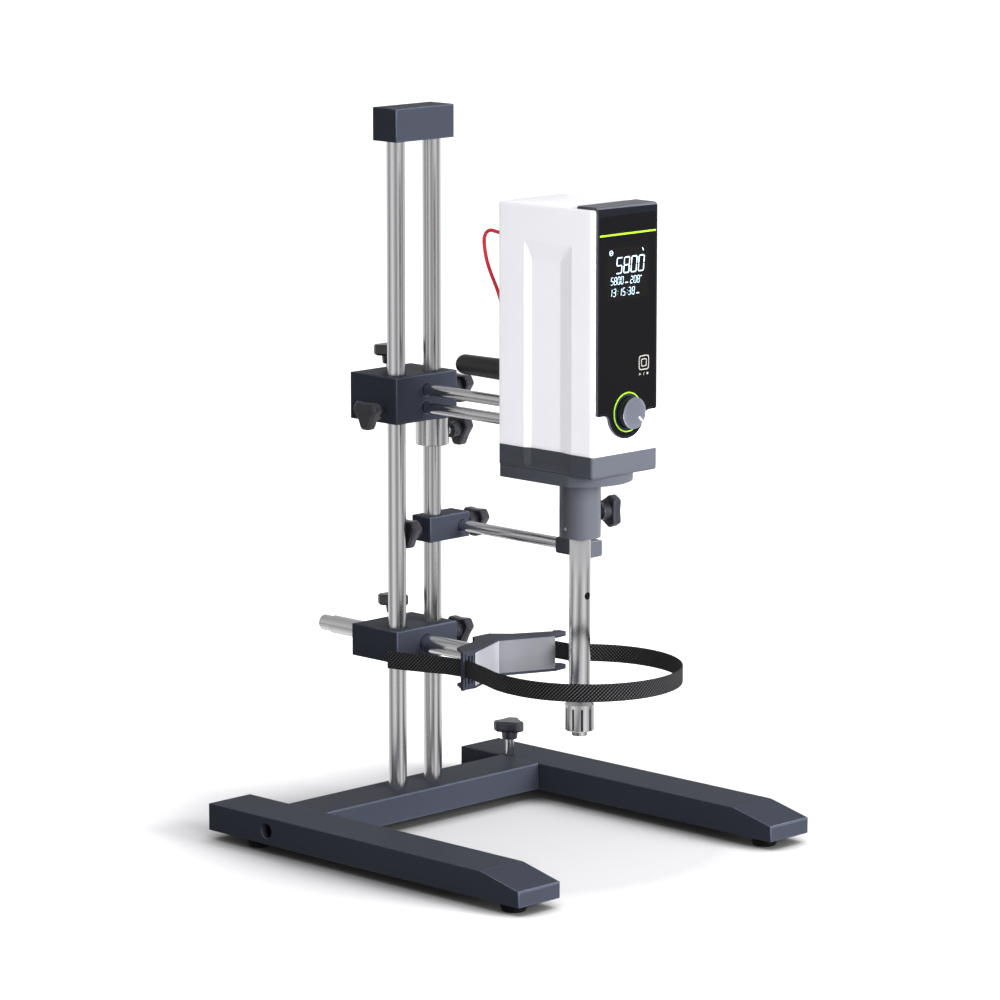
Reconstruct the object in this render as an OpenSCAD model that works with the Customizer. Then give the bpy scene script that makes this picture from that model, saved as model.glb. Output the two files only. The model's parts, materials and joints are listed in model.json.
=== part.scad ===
// Rotor stator homogenizer on a two-column H stand.
// Millimetres. +Z up, the front of the machine faces -Y, X = 0 is its mid-plane.
// The origin is on the bench, under the middle of the machine's outline.
// Modules that draw a piece work in a frame whose Y = 0 is the plane of the two uprights.

/* [Base] */
// Overall width of the base
base_w = 360; // [330:1:400]
// Width of each side bar
leg_w = 49; // [44:0.5:56]
// Height of the base bars
bar_h = 24; // [21:0.5:30]
// Reach of the side bars in front of the uprights
leg_front = 305.5; // [295:0.5:340]
// Reach of the side bars behind the uprights
leg_rear = 74.5; // [60:0.5:95]
// Length of the sloping nose of a side bar
nose_len = 44.5; // [20:0.5:70]
// Drop of the top face at the tip of the nose
nose_drop = 10.1; // [4:0.1:13]
// Depth of the cross bar, front to back
cross_d = 48.8; // [40:0.2:60]
// Height of the rubber feet
foot_h = 8; // [6:0.5:12]
// Diameter of a foot on the bench
foot_d = 21; // [16:0.5:23]
// Spread of a foot's top over its tread
foot_flare = 4; // [1:0.5:6]
// Distance of the front feet behind the noses
foot_inset = 21.5; // [14:0.5:60]
// Distance of the rear foot behind the uprights
foot_rear_y = 25; // [14:0.5:45]
// Distance of the fixed feet from the left face of their bar
foot_side = 16; // [13:0.5:22]
// Softening of the edges of the base bars
bar_edge = 0.9; // [0.3:0.1:2]

/* [Levelling foot] */
// Distance of the levelling screw from the inner face of the right bar
level_in = 6; // [5:0.5:20]
// Distance of the levelling screw behind the uprights
level_y = 17.6; // [10:0.2:30]
// Height of the knob's hub above the bar
level_rise = 15.5; // [10.5:0.5:16]

/* [Uprights] */
// Diameter of the two uprights
rod_d = 16; // [14:0.5:18]
// Distance between the uprights, centre to centre
rod_gap = 43.6; // [41:0.2:48]
// Height of the top of the end block over the bench
stand_h = 635.2; // [610:0.2:680]
// Depth of an upright's seat in the cross bar
rod_seat = 14; // [8:0.5:17]
// Width of the end block
cap_w = 70.6; // [66:0.2:80]
// Depth of the end block
cap_d = 29.6; // [24:0.2:29.8]
// Height of the end block
cap_h = 29.2; // [20:0.2:36]
// Thickness of the end block above the uprights
cap_roof = 9; // [4:0.5:12]
// Softening of the edges of the blocks
block_edge = 1.2; // [0.3:0.1:2]

/* [Carriage] */
// Height of the underside of the carriage over the bench
carriage_z = 360; // [350:1:380]
// Width of the carriage
carriage_w = 74.5; // [72:0.5:84]
// Height of the carriage
carriage_h = 41.2; // [39:0.2:50]
// Reach of the carriage in front of the uprights
carriage_front = 16; // [13:0.2:20]
// Reach of the carriage behind the uprights
carriage_rear = 42.4; // [41:0.2:50]
// Height of the lower arm rod over the underside of the carriage
arm_low = 12; // [9:0.2:14]
// Distance between the two arm rods
arm_pitch = 15.7; // [13:0.1:18]
// Diameter of the arm rods
arm_d = 10; // [8:0.5:11]
// Height of the left clamp screw over the underside of the carriage
carriage_left_z = 11; // [9:0.5:30]
// Height of the right clamp screw over the underside of the carriage
carriage_right_z = 23; // [19:0.5:30]
// Reach of the arm rods behind the carriage
arm_tail = 20; // [14:0.5:30]
// Distance of the arm clamp screw behind the uprights
arm_screw_y = 30.1; // [28:0.1:34]

/* [Stop collar] */
// Diameter of the stop collar
collar_d = 29.4; // [24:0.2:31]
// Height of the stop collar
collar_h = 25; // [16:0.5:30]
// Depth of the collar's clamp screw under its top
collar_screw = 15; // [8:0.5:18]

/* [Probe arm] */
// Height of the underside of the probe clamp over the bench
probe_z = 249.3; // [235:0.1:262]
// Height of the probe clamp
probe_h = 22.8; // [19:0.2:28]
// Depth of the probe clamp
probe_d = 23.6; // [22:0.2:26]
// Distance of the probe rod from the right upright
probe_off = 26.1; // [22:0.1:32]
// Reach of the clamp beyond the probe rod
probe_end = 8.8; // [7:0.2:12]
// Reach of the clamp beyond the right upright, towards the middle
probe_inner = 14; // [10:0.2:14]
// Diameter of the probe rod
probe_rod_d = 10; // [8:0.5:11]
// Reach of the probe rod in front of the uprights
probe_reach = 155; // [140:1:170]
// Reach of the probe rod behind the uprights
probe_tail = 25; // [16:0.5:40]
// Width of the probe holder
holder_w = 18.2; // [14:0.2:24]
// Length of the probe holder
holder_l = 38.4; // [30:0.2:46]
// Height of the probe holder
holder_h = 14.6; // [13:0.2:20]
// Corner cut of the probe holder
holder_cut = 1.8; // [0.5:0.1:2.4]
// Length of the probe rod inside the holder
holder_grip = 20; // [8:0.5:24]
// Diameter of the hole for the probe
probe_hole_d = 6.2; // [4:0.1:8]

/* [Strap arm] */
// Height of the underside of the strap block over the bench
strap_z = 147.5; // [135:0.5:160]
// Width of the strap block
strap_block_w = 74; // [72:0.5:84]
// Height of the strap block
strap_block_h = 28.8; // [27:0.2:36]
// Reach of the strap block in front of the uprights
strap_block_front = 15.5; // [13:0.2:20]
// Reach of the strap block behind the uprights
strap_block_rear = 42.3; // [38:0.2:50]
// Height of the strap rod over the underside of the block
strap_axis = 13.8; // [11:0.2:15]
// Diameter of the strap rod
strap_rod_d = 16; // [13:0.5:17]
// Reach of the strap rod behind the uprights
strap_tail = 117.5; // [100:0.5:125]
// Length of the turned-down end of the strap rod
strap_turn_l = 13.5; // [6:0.5:20]
// Diameter of the turned-down end
strap_turn_d = 14; // [9:0.5:15]
// Height of the strap block's side screw over its underside
strap_side_z = 16.5; // [10:0.5:20]
// Distance of the strap rod's clamp screw behind the uprights
strap_screw_y = 26.3; // [24:0.1:32]

/* [Strap head] */
// Distance of the V point of the bracket in front of the uprights
vee_y = 104.5; // [98:0.5:112]
// Drop of the V from its point to its ends
vee_drop = 20.5; // [12:0.5:26]
// Half width of the V plate
vee_half = 49.5; // [42:0.5:52]
// Height of the strap bracket
bracket_h = 33.5; // [29:0.5:40]
// Thickness of the bracket's flanges
flange_t = 2.2; // [1.5:0.1:3.5]
// Thickness of the bracket's web
web_t = 3; // [2:0.1:4]
// Thickness of the V plate
plate_t = 1.3; // [0.8:0.1:2]
// Thickness of the flanges at the prongs
prong_t = 4.2; // [3:0.1:5]
// Width of the strap
strap_w = 15.4; // [10:0.2:18]
// Thickness of the strap
strap_t = 1.5; // [1:0.1:1.6]
// Radius of the strap's loop
loop_r = 82.5; // [76:0.5:86]
// Distance of the loop's centre in front of the uprights
loop_y = 208.5; // [206:0.5:212]

/* [Head] */
// Width of the head
head_w = 80; // [78:0.5:90]
// Distance of the head's back in front of the uprights
head_back = 143; // [141:0.5:152]
// Depth of the head
head_d = 110.3; // [104:0.5:120]
// Height of the white shell
shell_h = 207.3; // [204:0.5:230]
// Height of the drive base under the shell
drive_h = 19; // [16:0.5:24]
// Height of the step under the drive base
tier_h = 9.7; // [7:0.1:13]
// Radius of the front of the step
tier_r = 44.8; // [41:0.2:48]
// Height of the lower arm rod over the bottom edge of the shell
arm_over_split = 12.1; // [10:0.1:16]
// Wall of the shell
wall = 2.5; // [1.8:0.1:3]
// Radius of the upright edges of the head
head_r = 2.5; // [1:0.1:4]
// Distance of the drive shaft in front of the uprights
axis_y = 201.5; // [199:0.5:206]

/* [Side recess] */
// Depth of the recess in each side of the head
recess_depth = 3; // [1:0.1:3.4]
// Length of the recess at the surface
recess_l = 56; // [48:0.5:60]
// Distance of the recess from the head's back
recess_back = 30.5; // [27:0.5:34]
// Height of the recess over the shell's bottom edge
recess_top = 176.7; // [150:0.5:184]
// Reach of the recess under the shell's bottom edge
recess_low = 16.5; // [6:0.5:16.8]
// Width of the ramp at the front of the recess
recess_ramp = 16; // [6:0.5:20]
// Width of the bevel at the back of the recess
recess_bevel = 6.1; // [2:0.1:10]
// Length of the bevel at the top of the recess
recess_head = 15.4; // [4:0.2:20]
// Length of the bevel at the bottom of the recess
recess_foot = 3.3; // [1:0.1:6]
// Radius of the recess's bottom corners
recess_r = 8; // [3:0.5:10]

/* [Front panel] */
// Half width of the panel
panel_half = 36; // [34.5:0.5:38]
// Thickness of the panel in front of the shell
panel_t = 2.5; // [2:0.1:4]
// Thickness of the panel's return on the top
panel_top_t = 2.3; // [1.5:0.1:3]
// Length of the panel's return on the top
panel_return = 24.3; // [12:0.5:40]
// Height of the panel's lower edge over the shell's bottom edge
panel_low = 34.1; // [32:0.2:40]
// Radius of the round end under the dial
lobe_r = 22.5; // [20:0.2:25]
// Radius of the fillets beside the round end
lobe_fillet = 5; // [2:0.5:8]
// Margin of the panel round the glass
panel_rim = 2; // [1:0.1:3]
// Distance of the glass's top under the panel's top
glass_top = 8; // [5:0.5:12]
// Thickness of the glass
glass_t = 1.4; // [1:0.1:1.8]
// Half width of the display
display_half = 26.5; // [22:0.5:27.5]
// Height of the display
display_h = 40.5; // [30:0.5:44]
// Height of the display's middle over the shell's bottom edge
display_z = 152.9; // [148:0.5:158]

/* [Dial] */
// Height of the dial over the shell's bottom edge
dial_z = 34.9; // [32:0.2:38]
// Diameter of the dial's barrel
dial_d = 26; // [20:0.5:27]
// Diameter of the dial's cap
cap_dial_d = 27; // [20:0.5:28]
// Reach of the dial in front of the glass
dial_reach = 9.4; // [7:0.2:14]
// Outer diameter of the ring round the dial
ring_d = 34; // [32:0.5:36]
// Width of the ring
ring_w = 1.7; // [1:0.1:2.2]

/* [Drive] */
// Outer diameter of the motor
motor_d = 62; // [56:0.5:63]
// Height of the motor
motor_h = 90; // [80:1:104]
// Diameter of the motor shaft
shaft_d = 8; // [7:0.5:9]
// Outer diameter of the shaft bearings
bearing_d = 22; // [20:0.5:24]
// Width of a bearing
bearing_w = 7; // [5:0.5:7.5]
// Diameter of the magnet rotor
magnet_d = 34; // [28:0.5:36]

/* [Tool] */
// Outer diameter of the tool collar
spout_d = 35.5; // [34:0.5:40]
// Length of the tool collar
spout_l = 53.7; // [50:0.5:62]
// Diameter of the tool's tube
tube_d = 18.4; // [16:0.2:19]
// Bore of the tool's tube
tube_bore = 14; // [11:0.2:14.4]
// Length of the tube under the collar
tube_l = 138.5; // [120:0.5:146]
// Diameter of the stator head
stator_d = 25; // [22:0.5:28]
// Height of the stator head
stator_h = 26; // [22:0.5:30]
// Number of slots in the stator head
stator_slots = 10; // [6:1:12]
// Width of a slot in the stator head
slot_w = 2; // [1.2:0.1:2.4]
// Diameter of the mouth ring under the stator head
mouth_d = 13.7; // [12:0.1:16]
// Height of the mouth ring
mouth_h = 4.7; // [2:0.1:8]
// Diameter of the tool shaft
spindle_d = 6; // [5:0.5:7]
// Height of the vent hole under the collar
vent_drop = 46.5; // [20:0.5:100]
// Diameter of the vent hole
vent_d = 5.5; // [3:0.5:7]

/* [Handle and cables] */
// Height of the handle over the shell's bottom edge
handle_z = 55.1; // [54:0.2:70]
// Length of the handle
handle_l = 88; // [70:1:92]
// Diameter of the handle at its free end
handle_d = 17.5; // [14:0.5:18]
// Diameter of the handle where it meets the head
handle_root_d = 19.5; // [14:0.5:22]
// Diameter of the sensor lead
lead_d = 3.2; // [2.4:0.2:4]
// Length of the lead's socket and gland behind the head
lead_nose = 8; // [6:0.5:9]

/* [Clamp knobs] */
// Radius of a knob to the ends of its arms
knob_r = 15; // [12:0.2:15]
// Width of the end of an arm
knob_end_w = 8.5; // [5:0.5:10]
// Hollow of the sides between the arms
knob_dip = 0.7; // [0:0.1:1.5]
// Thickness of a knob's head
knob_t = 9.5; // [7:0.5:11]
// Length of a knob's hub
hub_l = 7.5; // [4:0.5:9]
// Diameter of a knob's hub
hub_d = 15.6; // [12:0.2:17]
// Space between a knob's hub and the clamped block
knob_stand = 7; // [5:0.5:9]
// Diameter of the clamp screws
screw_d = 8; // [6:0.5:8]

/* [Clearances] */
// Radial clearance of the sliding and turning fits
fit = 0.05; // [0.02:0.01:0.08]
// Free space between a clamp screw's tip and the rod
tip_gap = 0.3; // [0.2:0.05:0.6]
// Free space round soft pieces
soft_gap = 0.3; // [0.2:0.05:0.5]

/* [Hidden] */
$fn = 48;
arc_n = 4;
edge_n = 3;
uprights_y = (leg_front - strap_tail) / 2;

// Colours
slate = [0.20, 0.21, 0.26];
steel = [0.78, 0.78, 0.80];
black = [0.07, 0.07, 0.08];
white = [0.94, 0.94, 0.96];
silver = [0.70, 0.71, 0.78];
lime = [0.60, 0.80, 0.23];
red = [0.75, 0.0, 0.06];
board_green = [0.10, 0.32, 0.16];
copper = [0.62, 0.38, 0.22];
ptfe = [0.92, 0.92, 0.88];

// Base heights and places
bar_top = foot_h + bar_h;
leg_in = base_w / 2 - leg_w;
bolt_z = foot_h + bar_h / 2;
bolt_head_d = 12.6;
bolt_head_h = 8;
bolt_d = 8;
bolt_sink = 14;
bolt_into = 22;
bolt_room = 0.2;
rod_screw_head_d = 10;
rod_screw_head_h = 6;
rod_screw_d = 6;
rod_screw_into = 16;
foot_x = base_w / 2 - foot_side;
foot_right_x = leg_in + foot_side;
foot_front_y = -leg_front + foot_inset;
foot_top_d = foot_d + foot_flare;
level_x = leg_in + level_in;
level_pad_floor = 3;
rod_x = rod_gap / 2;
rod_top = stand_h - cap_roof;
mouth_cut = 0.9;

// Carriage
arm_low_z = carriage_z + arm_low;
arm_high_z = arm_low_z + arm_pitch;
arm_end_y = carriage_rear + arm_tail;
arm_into = 14;
carriage_top = carriage_z + carriage_h;

// Probe arm
probe_rod_x = rod_x + probe_off;
probe_rod_z = probe_z + probe_h * 0.478;
holder_rear_y = -probe_reach + holder_grip;
probe_hole_y = holder_rear_y - holder_l + 11;

// Strap arm
strap_rod_z = strap_z + strap_axis;
bracket_z = strap_rod_z - bracket_h / 2 + 0.45;
bracket_mid_z = bracket_z + bracket_h / 2;
strap_low_z = bracket_mid_z - strap_w / 2 + 2.3;
vee_slope = vee_drop / vee_half;
boss_half = 11;
boss_back_y = -vee_y + 21.9;
strap_rod_end_y = boss_back_y - 14;
prong_x = 14.2;
post_w = 10;
guard_w = 2.2;
guard_x = -vee_half - 13.3;

// Head heights
split_z = arm_low_z - arm_over_split;
head_top = split_z + shell_h;
drive_low = split_z - drive_h;
tier_low = drive_low - tier_h;
head_front = head_back + head_d;
head_half = head_w / 2;
floor_t = 6;
floor_z = drive_low + floor_t;
spout_low = tier_low - spout_l;
dial_axis_z = split_z + dial_z;
panel_front = head_front + panel_t;
glass_face = panel_front + 0.1;
glass_back = glass_face - glass_t;
glass_high = head_top + panel_top_t - glass_top;
glass_low = split_z + panel_low + panel_rim;
panel_bottom = split_z + panel_low;
board_y = head_front - 11.7;
board_t = 1.6;
board_half = 30;
board_low = split_z + 20;
board_high = head_top - 11;
post_x = 26;
post_d = 6;
post_zs = [board_low + 5, board_high - 5];
bushing_d = 9;
dial_shaft_d = 6;
encoder_w = 13;
encoder_t = 6.5;

// Motor
can_wall = 2.4;
can_top_t = 9;
motor_top = floor_z + motor_h;
lower_bearing_z = floor_z - 3.9;
upper_bearing_z = motor_top - can_top_t + 0.5;
bearing_boss = 3;
stator_low = floor_z + 12;
stator_core_h = motor_h - can_top_t - 28;
stator_gap = 0.5;
shaft_low = tier_low - 3;
coupling_d = 17;
coupling_l = 12;
coupling_low = shaft_low - 6.5;
tang_w = 4.2;
tang_gap = 0.15;

// Tool
spout_bore_top = coupling_low - 3;
tube_top = spout_bore_top - 1;
tube_low = spout_low - tube_l;
stator_low_z = tube_low - stator_h;
mouth_low = stator_low_z - mouth_h;
spindle_top = shaft_low - 0.4;
spindle_low = stator_low_z + 1;
bushing_l = 12;
spout_screw_z = spout_low + 22;
rotor_r = stator_d / 2 - 3.3;
stator_bore = stator_d - 5.8;
neck_l = 8;

// Rear fittings of the head
handle_axis_z = split_z + handle_z;
inlet_x = 13;
inlet_z = split_z + 146;
inlet_w = 28;
inlet_h = 48;
inlet_depth = 18;
inlet_screw_d = 3;
inlet_screw_z = inlet_h / 2 - 5;
rocker_z = split_z + 98;
rocker_w = 15;
rocker_h = 21;
lead_x = -22;
socket_z = split_z + 177.1;
gland_z = split_z + 112.1;
socket_d = 9;

// Route of the sensor lead: distance behind the head's back and height over the split
lead_route = [[8, 177.1], [12, 177.1], [19, 177.5], [25, 178.3], [29.5, 177.5], [33, 174.5],
    [34.5, 170], [34.3, 165], [32.8, 157], [30.5, 150], [27, 142.5], [23, 135.5], [19, 128.5],
    [15.5, 121], [13.2, 115.8], [11.6, 113.1], [10, 112.1], [8, 112.1]];

// Outlines

// Points along an arc of radius r about [x, y]
function arc_pts(x, y, r, a0, a1, n) =
    [for (i = [0:n]) let (a = a0 + (a1 - a0) * i / n) [x + r * cos(a), y + r * sin(a)]];

// A rectangle from the origin with round corners
function round_rect(w, h, r, n) = concat(
    arc_pts(w - r, r, r, -90, 0, n), arc_pts(w - r, h - r, r, 0, 90, n),
    arc_pts(r, h - r, r, 90, 180, n), arc_pts(r, r, r, 180, 270, n));

// Three arms: straight ends on a circle of radius r, and slightly hollow sides between them
function knob_outline(r, end_w, dip) =
    let (span = 60 - asin(end_w / 2 / r), chord = r * cos(span))
    [for (i = [0:2], k = [-3:3]) let (off = span * k / 3, a = 120 * i + 60 + off,
        d = chord / cos(off) - dip * (1 - k * k / 9)) [d * cos(a), d * sin(a)]];

// The panel's outline seen from the front, with the round end about the dial
function panel_outline(half, low, top, round_r, fillet) =
    let (drop = dial_axis_z - low, fz = low - fillet,
        fx = sqrt(pow(round_r + fillet, 2) - pow(fillet + drop, 2)),
        lean = asin((fillet + drop) / (round_r + fillet)))
    concat(arc_pts(half - 1.5, low + 1.5, 1.5, 0, -90, 2),
        arc_pts(fx, fz, fillet, 90, 180 - lean, 4),
        arc_pts(0, dial_axis_z, round_r, -lean, lean - 180, 20),
        arc_pts(-fx, fz, fillet, lean, 90, 4),
        arc_pts(1.5 - half, low + 1.5, 1.5, -90, -180, 2),
        arc_pts(1.5 - half, top - 1.5, 1.5, 180, 90, 2),
        arc_pts(half - 1.5, top - 1.5, 1.5, 90, 0, 2));

// Frames and simple forms

module at_uprights() translate([0, uprights_y, 0]) children();
module along_x() rotate([0, 90, 0]) children();
module against_x() rotate([0, -90, 0]) children();
module along_y() rotate([-90, 0, 0]) children();

// An outline in X and Z, extruded along Y from y0 to y1
module wall_xz(y0, y1) translate([0, y1, 0]) rotate([90, 0, 0]) linear_extrude(y1 - y0) children();

// An outline in Y and Z, extruded along X from x0 to x1
module wall_yz(x0, x1) translate([x0, 0, 0]) rotate([90, 0, 90]) linear_extrude(x1 - x0) children();

// A box between two corners with all its edges rounded
module soft_box(lo, hi, r) {
    s = hi - lo;
    translate(lo) intersection() {
        linear_extrude(s.z) polygon(round_rect(s.x, s.y, r, edge_n));
        wall_xz(0, s.y) polygon(round_rect(s.x, s.z, r, edge_n));
        wall_yz(0, s.x) polygon(round_rect(s.y, s.z, r, edge_n));
    }
}

// A box between two corners
module box(lo, hi) translate(lo) cube(hi - lo);

// A bore along +Z from z0 to z1 with a small countersink at each open end
module sunk_bore(d, z0, z1) {
    translate([0, 0, z0 - 1]) cylinder(d = d, h = z1 - z0 + 2);
    translate([0, 0, z0 - 0.01]) cylinder(d1 = d + 2 * mouth_cut, d2 = d, h = mouth_cut);
    translate([0, 0, z1 - mouth_cut + 0.01]) cylinder(d1 = d, d2 = d + 2 * mouth_cut, h = mouth_cut);
}

// Bores of the two uprights through a block
module upright_bores(z0, z1) {
    for (x = [-rod_x, rod_x]) translate([x, 0, 0]) sunk_bore(rod_d + 2 * fit, z0, z1);
}

// Clamp knob: the clamped face is at z = 0 and the screw goes reach deep
module clamp_knob(reach, stand, turn) {
    head_z = stand + hub_l;
    color(steel) translate([0, 0, -reach]) cylinder(d = screw_d, h = reach + stand + 1);
    color(black) translate([0, 0, stand]) cylinder(d1 = hub_d - 1.6, d2 = hub_d, h = hub_l + 0.5);
    color(black) translate([0, 0, head_z]) rotate([0, 0, turn]) intersection() {
        linear_extrude(knob_t) polygon(knob_outline(knob_r, knob_end_w, knob_dip));
        rotate_extrude() polygon([[0, 0], [knob_r - 1.6, 0], [knob_r + 0.1, 1.6],
            [knob_r + 0.1, knob_t - 1.6], [knob_r - 1.6, knob_t], [0, knob_t]]);
    }
}

module screw_bore(depth) translate([0, 0, -depth]) cylinder(d = screw_d + 2 * fit, h = depth + 1);

// Depths of the clamp screws in their blocks
function side_reach(block_w) = block_w / 2 - rod_x - rod_d / 2 - tip_gap;
collar_reach = (collar_d - rod_d) / 2 - tip_gap;
arm_reach = carriage_top - arm_high_z - arm_d / 2 - tip_gap;
strap_reach = strap_z + strap_block_h - strap_rod_z - strap_rod_d / 2 - tip_gap;
probe_left_reach = probe_inner - rod_d / 2 - tip_gap;
probe_right_reach = probe_end - probe_rod_d / 2 - tip_gap;
spout_reach = (spout_d - tube_d) / 2 - tip_gap;
probe_left_stand = min(knob_stand, rod_gap - rod_d / 2 - probe_inner - hub_l - knob_t - 0.4);

// Base

module leg(side) {
    mirror([side < 0 ? 1 : 0, 0, 0]) difference() {
        intersection() {
            wall_yz(leg_in, base_w / 2) polygon([[bar_edge - leg_front, foot_h],
                [leg_rear - bar_edge, foot_h], [leg_rear, foot_h + bar_edge],
                [leg_rear, bar_top - bar_edge], [leg_rear - bar_edge, bar_top],
                [nose_len - leg_front, bar_top],
                [bar_edge - leg_front, bar_top - nose_drop + bar_edge / 4],
                [-leg_front, bar_top - nose_drop - bar_edge], [-leg_front, foot_h + bar_edge]]);
            translate([leg_in, -leg_front, 0]) linear_extrude(bar_top)
                polygon(round_rect(leg_w, leg_front + leg_rear, bar_edge, edge_n));
            translate([leg_in, 0, foot_h]) wall_xz(-leg_front, leg_rear)
                polygon(round_rect(leg_w, bar_h, bar_edge, edge_n));
        }
        translate([leg_in - 1, 0, bolt_z]) along_x()
            cylinder(d = bolt_d + 2 * bolt_room, h = leg_w + 2);
        translate([base_w / 2 - bolt_sink, 0, bolt_z]) along_x()
            cylinder(d = bolt_head_d + 2 * bolt_room, h = bolt_sink + 1);
        if (side > 0) translate([level_x, level_y, foot_h]) sunk_bore(screw_d + 2 * fit, 0, bar_h);
    }
}

module left_leg() color(slate) at_uprights() leg(-1);

module right_leg() color(slate) at_uprights() leg(1);

module crossbar() color(slate) at_uprights() difference() {
    translate([-leg_in, 0, 0]) intersection() {
        wall_yz(0, 2 * leg_in) translate([-cross_d / 2, foot_h])
            polygon(round_rect(cross_d, bar_h, bar_edge, edge_n));
    }
    for (x = [-rod_x, rod_x]) translate([x, 0, 0]) {
        translate([0, 0, bar_top - rod_seat]) cylinder(d = rod_d + 2 * fit, h = rod_seat + 1);
        cylinder(d = rod_screw_d + 2 * bolt_room, h = bar_top);
        translate([0, 0, foot_h - 1])
            cylinder(d = rod_screw_head_d + 2 * bolt_room, h = rod_screw_head_h + 1.4);
    }
    for (side = [-1, 1]) mirror([side < 0 ? 1 : 0, 0, 0])
        translate([leg_in - bolt_into - 1, 0, bolt_z]) along_x()
            cylinder(d = bolt_d + 2 * fit, h = bolt_into + 2);
    translate([level_x, level_y, 0]) cylinder(d = screw_d + 3, h = bar_top + 1);
}

// A rubber foot: a flared plug with a rounded tread
module foot() rotate_extrude() polygon(concat([[0, 0]],
    arc_pts(foot_d / 2 - 1.2, 1.2, 1.2, -90, 0, 3),
    [[foot_top_d / 2, foot_h], [0, foot_h]]));

module rubber_feet() color(black) at_uprights() {
    translate([-foot_x, foot_rear_y, 0]) foot();
    for (x = [-foot_x, foot_right_x]) translate([x, foot_front_y, 0]) foot();
}

// A socket screw whose head is on z = 0, with its shank along -Z
module cap_screw(d, l, head_d, head_h) {
    difference() {
        union() {
            cylinder(d = head_d, h = head_h);
            translate([0, 0, -l]) cylinder(d = d, h = l + 0.5);
        }
        translate([0, 0, head_h - 0.5 * head_d]) cylinder(d = 0.58 * head_d, h = head_d, $fn = 6);
    }
}

module base_screws() color(black) at_uprights() {
    for (side = [-1, 1]) mirror([side < 0 ? 1 : 0, 0, 0])
        translate([base_w / 2 - bolt_sink, 0, bolt_z]) along_x()
            cap_screw(bolt_d, leg_w - bolt_sink + bolt_into, bolt_head_d, bolt_head_h);
    for (x = [-rod_x, rod_x]) translate([x, 0, foot_h + rod_screw_head_h + 0.4]) rotate([180, 0, 0])
        cap_screw(rod_screw_d, bar_h - rod_seat - rod_screw_head_h - 0.4 + rod_screw_into,
            rod_screw_head_d, rod_screw_head_h);
}

// An upright: a ground rod with a tapped hole in its foot
module upright(side) translate([side * rod_x, 0, 0]) difference() {
    translate([0, 0, bar_top - rod_seat]) cylinder(d = rod_d, h = rod_top - bar_top + rod_seat);
    cylinder(d = rod_screw_d + 2 * fit, h = bar_top - rod_seat + rod_screw_into + 1);
}

module left_upright() color(steel) at_uprights() upright(-1);

module right_upright() color(steel) at_uprights() upright(1);

module end_block() color(slate) at_uprights() difference() {
    soft_box([-cap_w / 2, -cap_d / 2, stand_h - cap_h], [cap_w / 2, cap_d / 2, stand_h], block_edge);
    for (x = [-rod_x, rod_x]) translate([x, 0, 0]) {
        translate([0, 0, stand_h - cap_h - 1]) cylinder(d = rod_d + 2 * fit, h = cap_h + 1 - cap_roof);
        translate([0, 0, stand_h - cap_h - 0.01])
            cylinder(d1 = rod_d + 2 * mouth_cut, d2 = rod_d, h = mouth_cut);
    }
}

// Levelling foot

module levelling_foot() color(black) at_uprights() translate([level_x, level_y, 0]) difference() {
    foot();
    translate([0, 0, level_pad_floor]) cylinder(d = screw_d + 2 * fit, h = foot_h);
}

module levelling_knob() at_uprights() translate([level_x, level_y, bar_top])
    clamp_knob(bar_top - level_pad_floor, level_rise, 150);

// Carriage

module carriage_block() color(slate) at_uprights() difference() {
    soft_box([-carriage_w / 2, -carriage_front, carriage_z],
        [carriage_w / 2, carriage_rear, carriage_top], block_edge);
    upright_bores(carriage_z, carriage_top);
    for (z = [arm_low_z, arm_high_z]) translate([0, 0, z]) along_y()
        sunk_bore(arm_d + 2 * fit, -carriage_front, carriage_rear);
    translate([-carriage_w / 2, 0, carriage_z + carriage_left_z]) against_x()
        screw_bore(carriage_w / 2 - rod_x);
    translate([carriage_w / 2, 0, carriage_z + carriage_right_z]) along_x()
        screw_bore(carriage_w / 2 - rod_x);
    translate([0, arm_screw_y, carriage_top]) screw_bore(carriage_top - arm_high_z);
}

module carriage_left_knob() at_uprights()
    translate([-carriage_w / 2, 0, carriage_z + carriage_left_z]) against_x()
        clamp_knob(side_reach(carriage_w), knob_stand, 180);

module carriage_right_knob() at_uprights()
    translate([carriage_w / 2, 0, carriage_z + carriage_right_z]) along_x()
        clamp_knob(side_reach(carriage_w), knob_stand, 0);

module carriage_top_knob() at_uprights()
    translate([0, arm_screw_y, carriage_top]) clamp_knob(arm_reach, knob_stand - 2, 150);

module arm_rod(z) translate([0, -head_back - arm_into, z]) along_y()
    cylinder(d = arm_d, h = head_back + arm_into + arm_end_y);

module upper_arm_rod() color(steel) at_uprights() arm_rod(arm_high_z);

module lower_arm_rod() color(steel) at_uprights() arm_rod(arm_low_z);

// Stop collar

module stop_collar() color(steel) at_uprights() translate([rod_x, 0, carriage_z - collar_h]) difference() {
    rotate_extrude() polygon([[0, 0], [collar_d / 2 - 0.6, 0], [collar_d / 2, 0.6],
        [collar_d / 2, collar_h - 0.6], [collar_d / 2 - 0.6, collar_h], [0, collar_h]]);
    translate([0, 0, -1]) cylinder(d = rod_d + 2 * fit, h = collar_h + 2);
    translate([collar_d / 2, 0, collar_h - collar_screw]) along_x() screw_bore(collar_d / 2);
}

module stop_collar_knob() at_uprights()
    translate([rod_x + collar_d / 2, 0, carriage_z - collar_screw]) along_x()
        clamp_knob(collar_reach, knob_stand, 0);

// Probe arm

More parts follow.
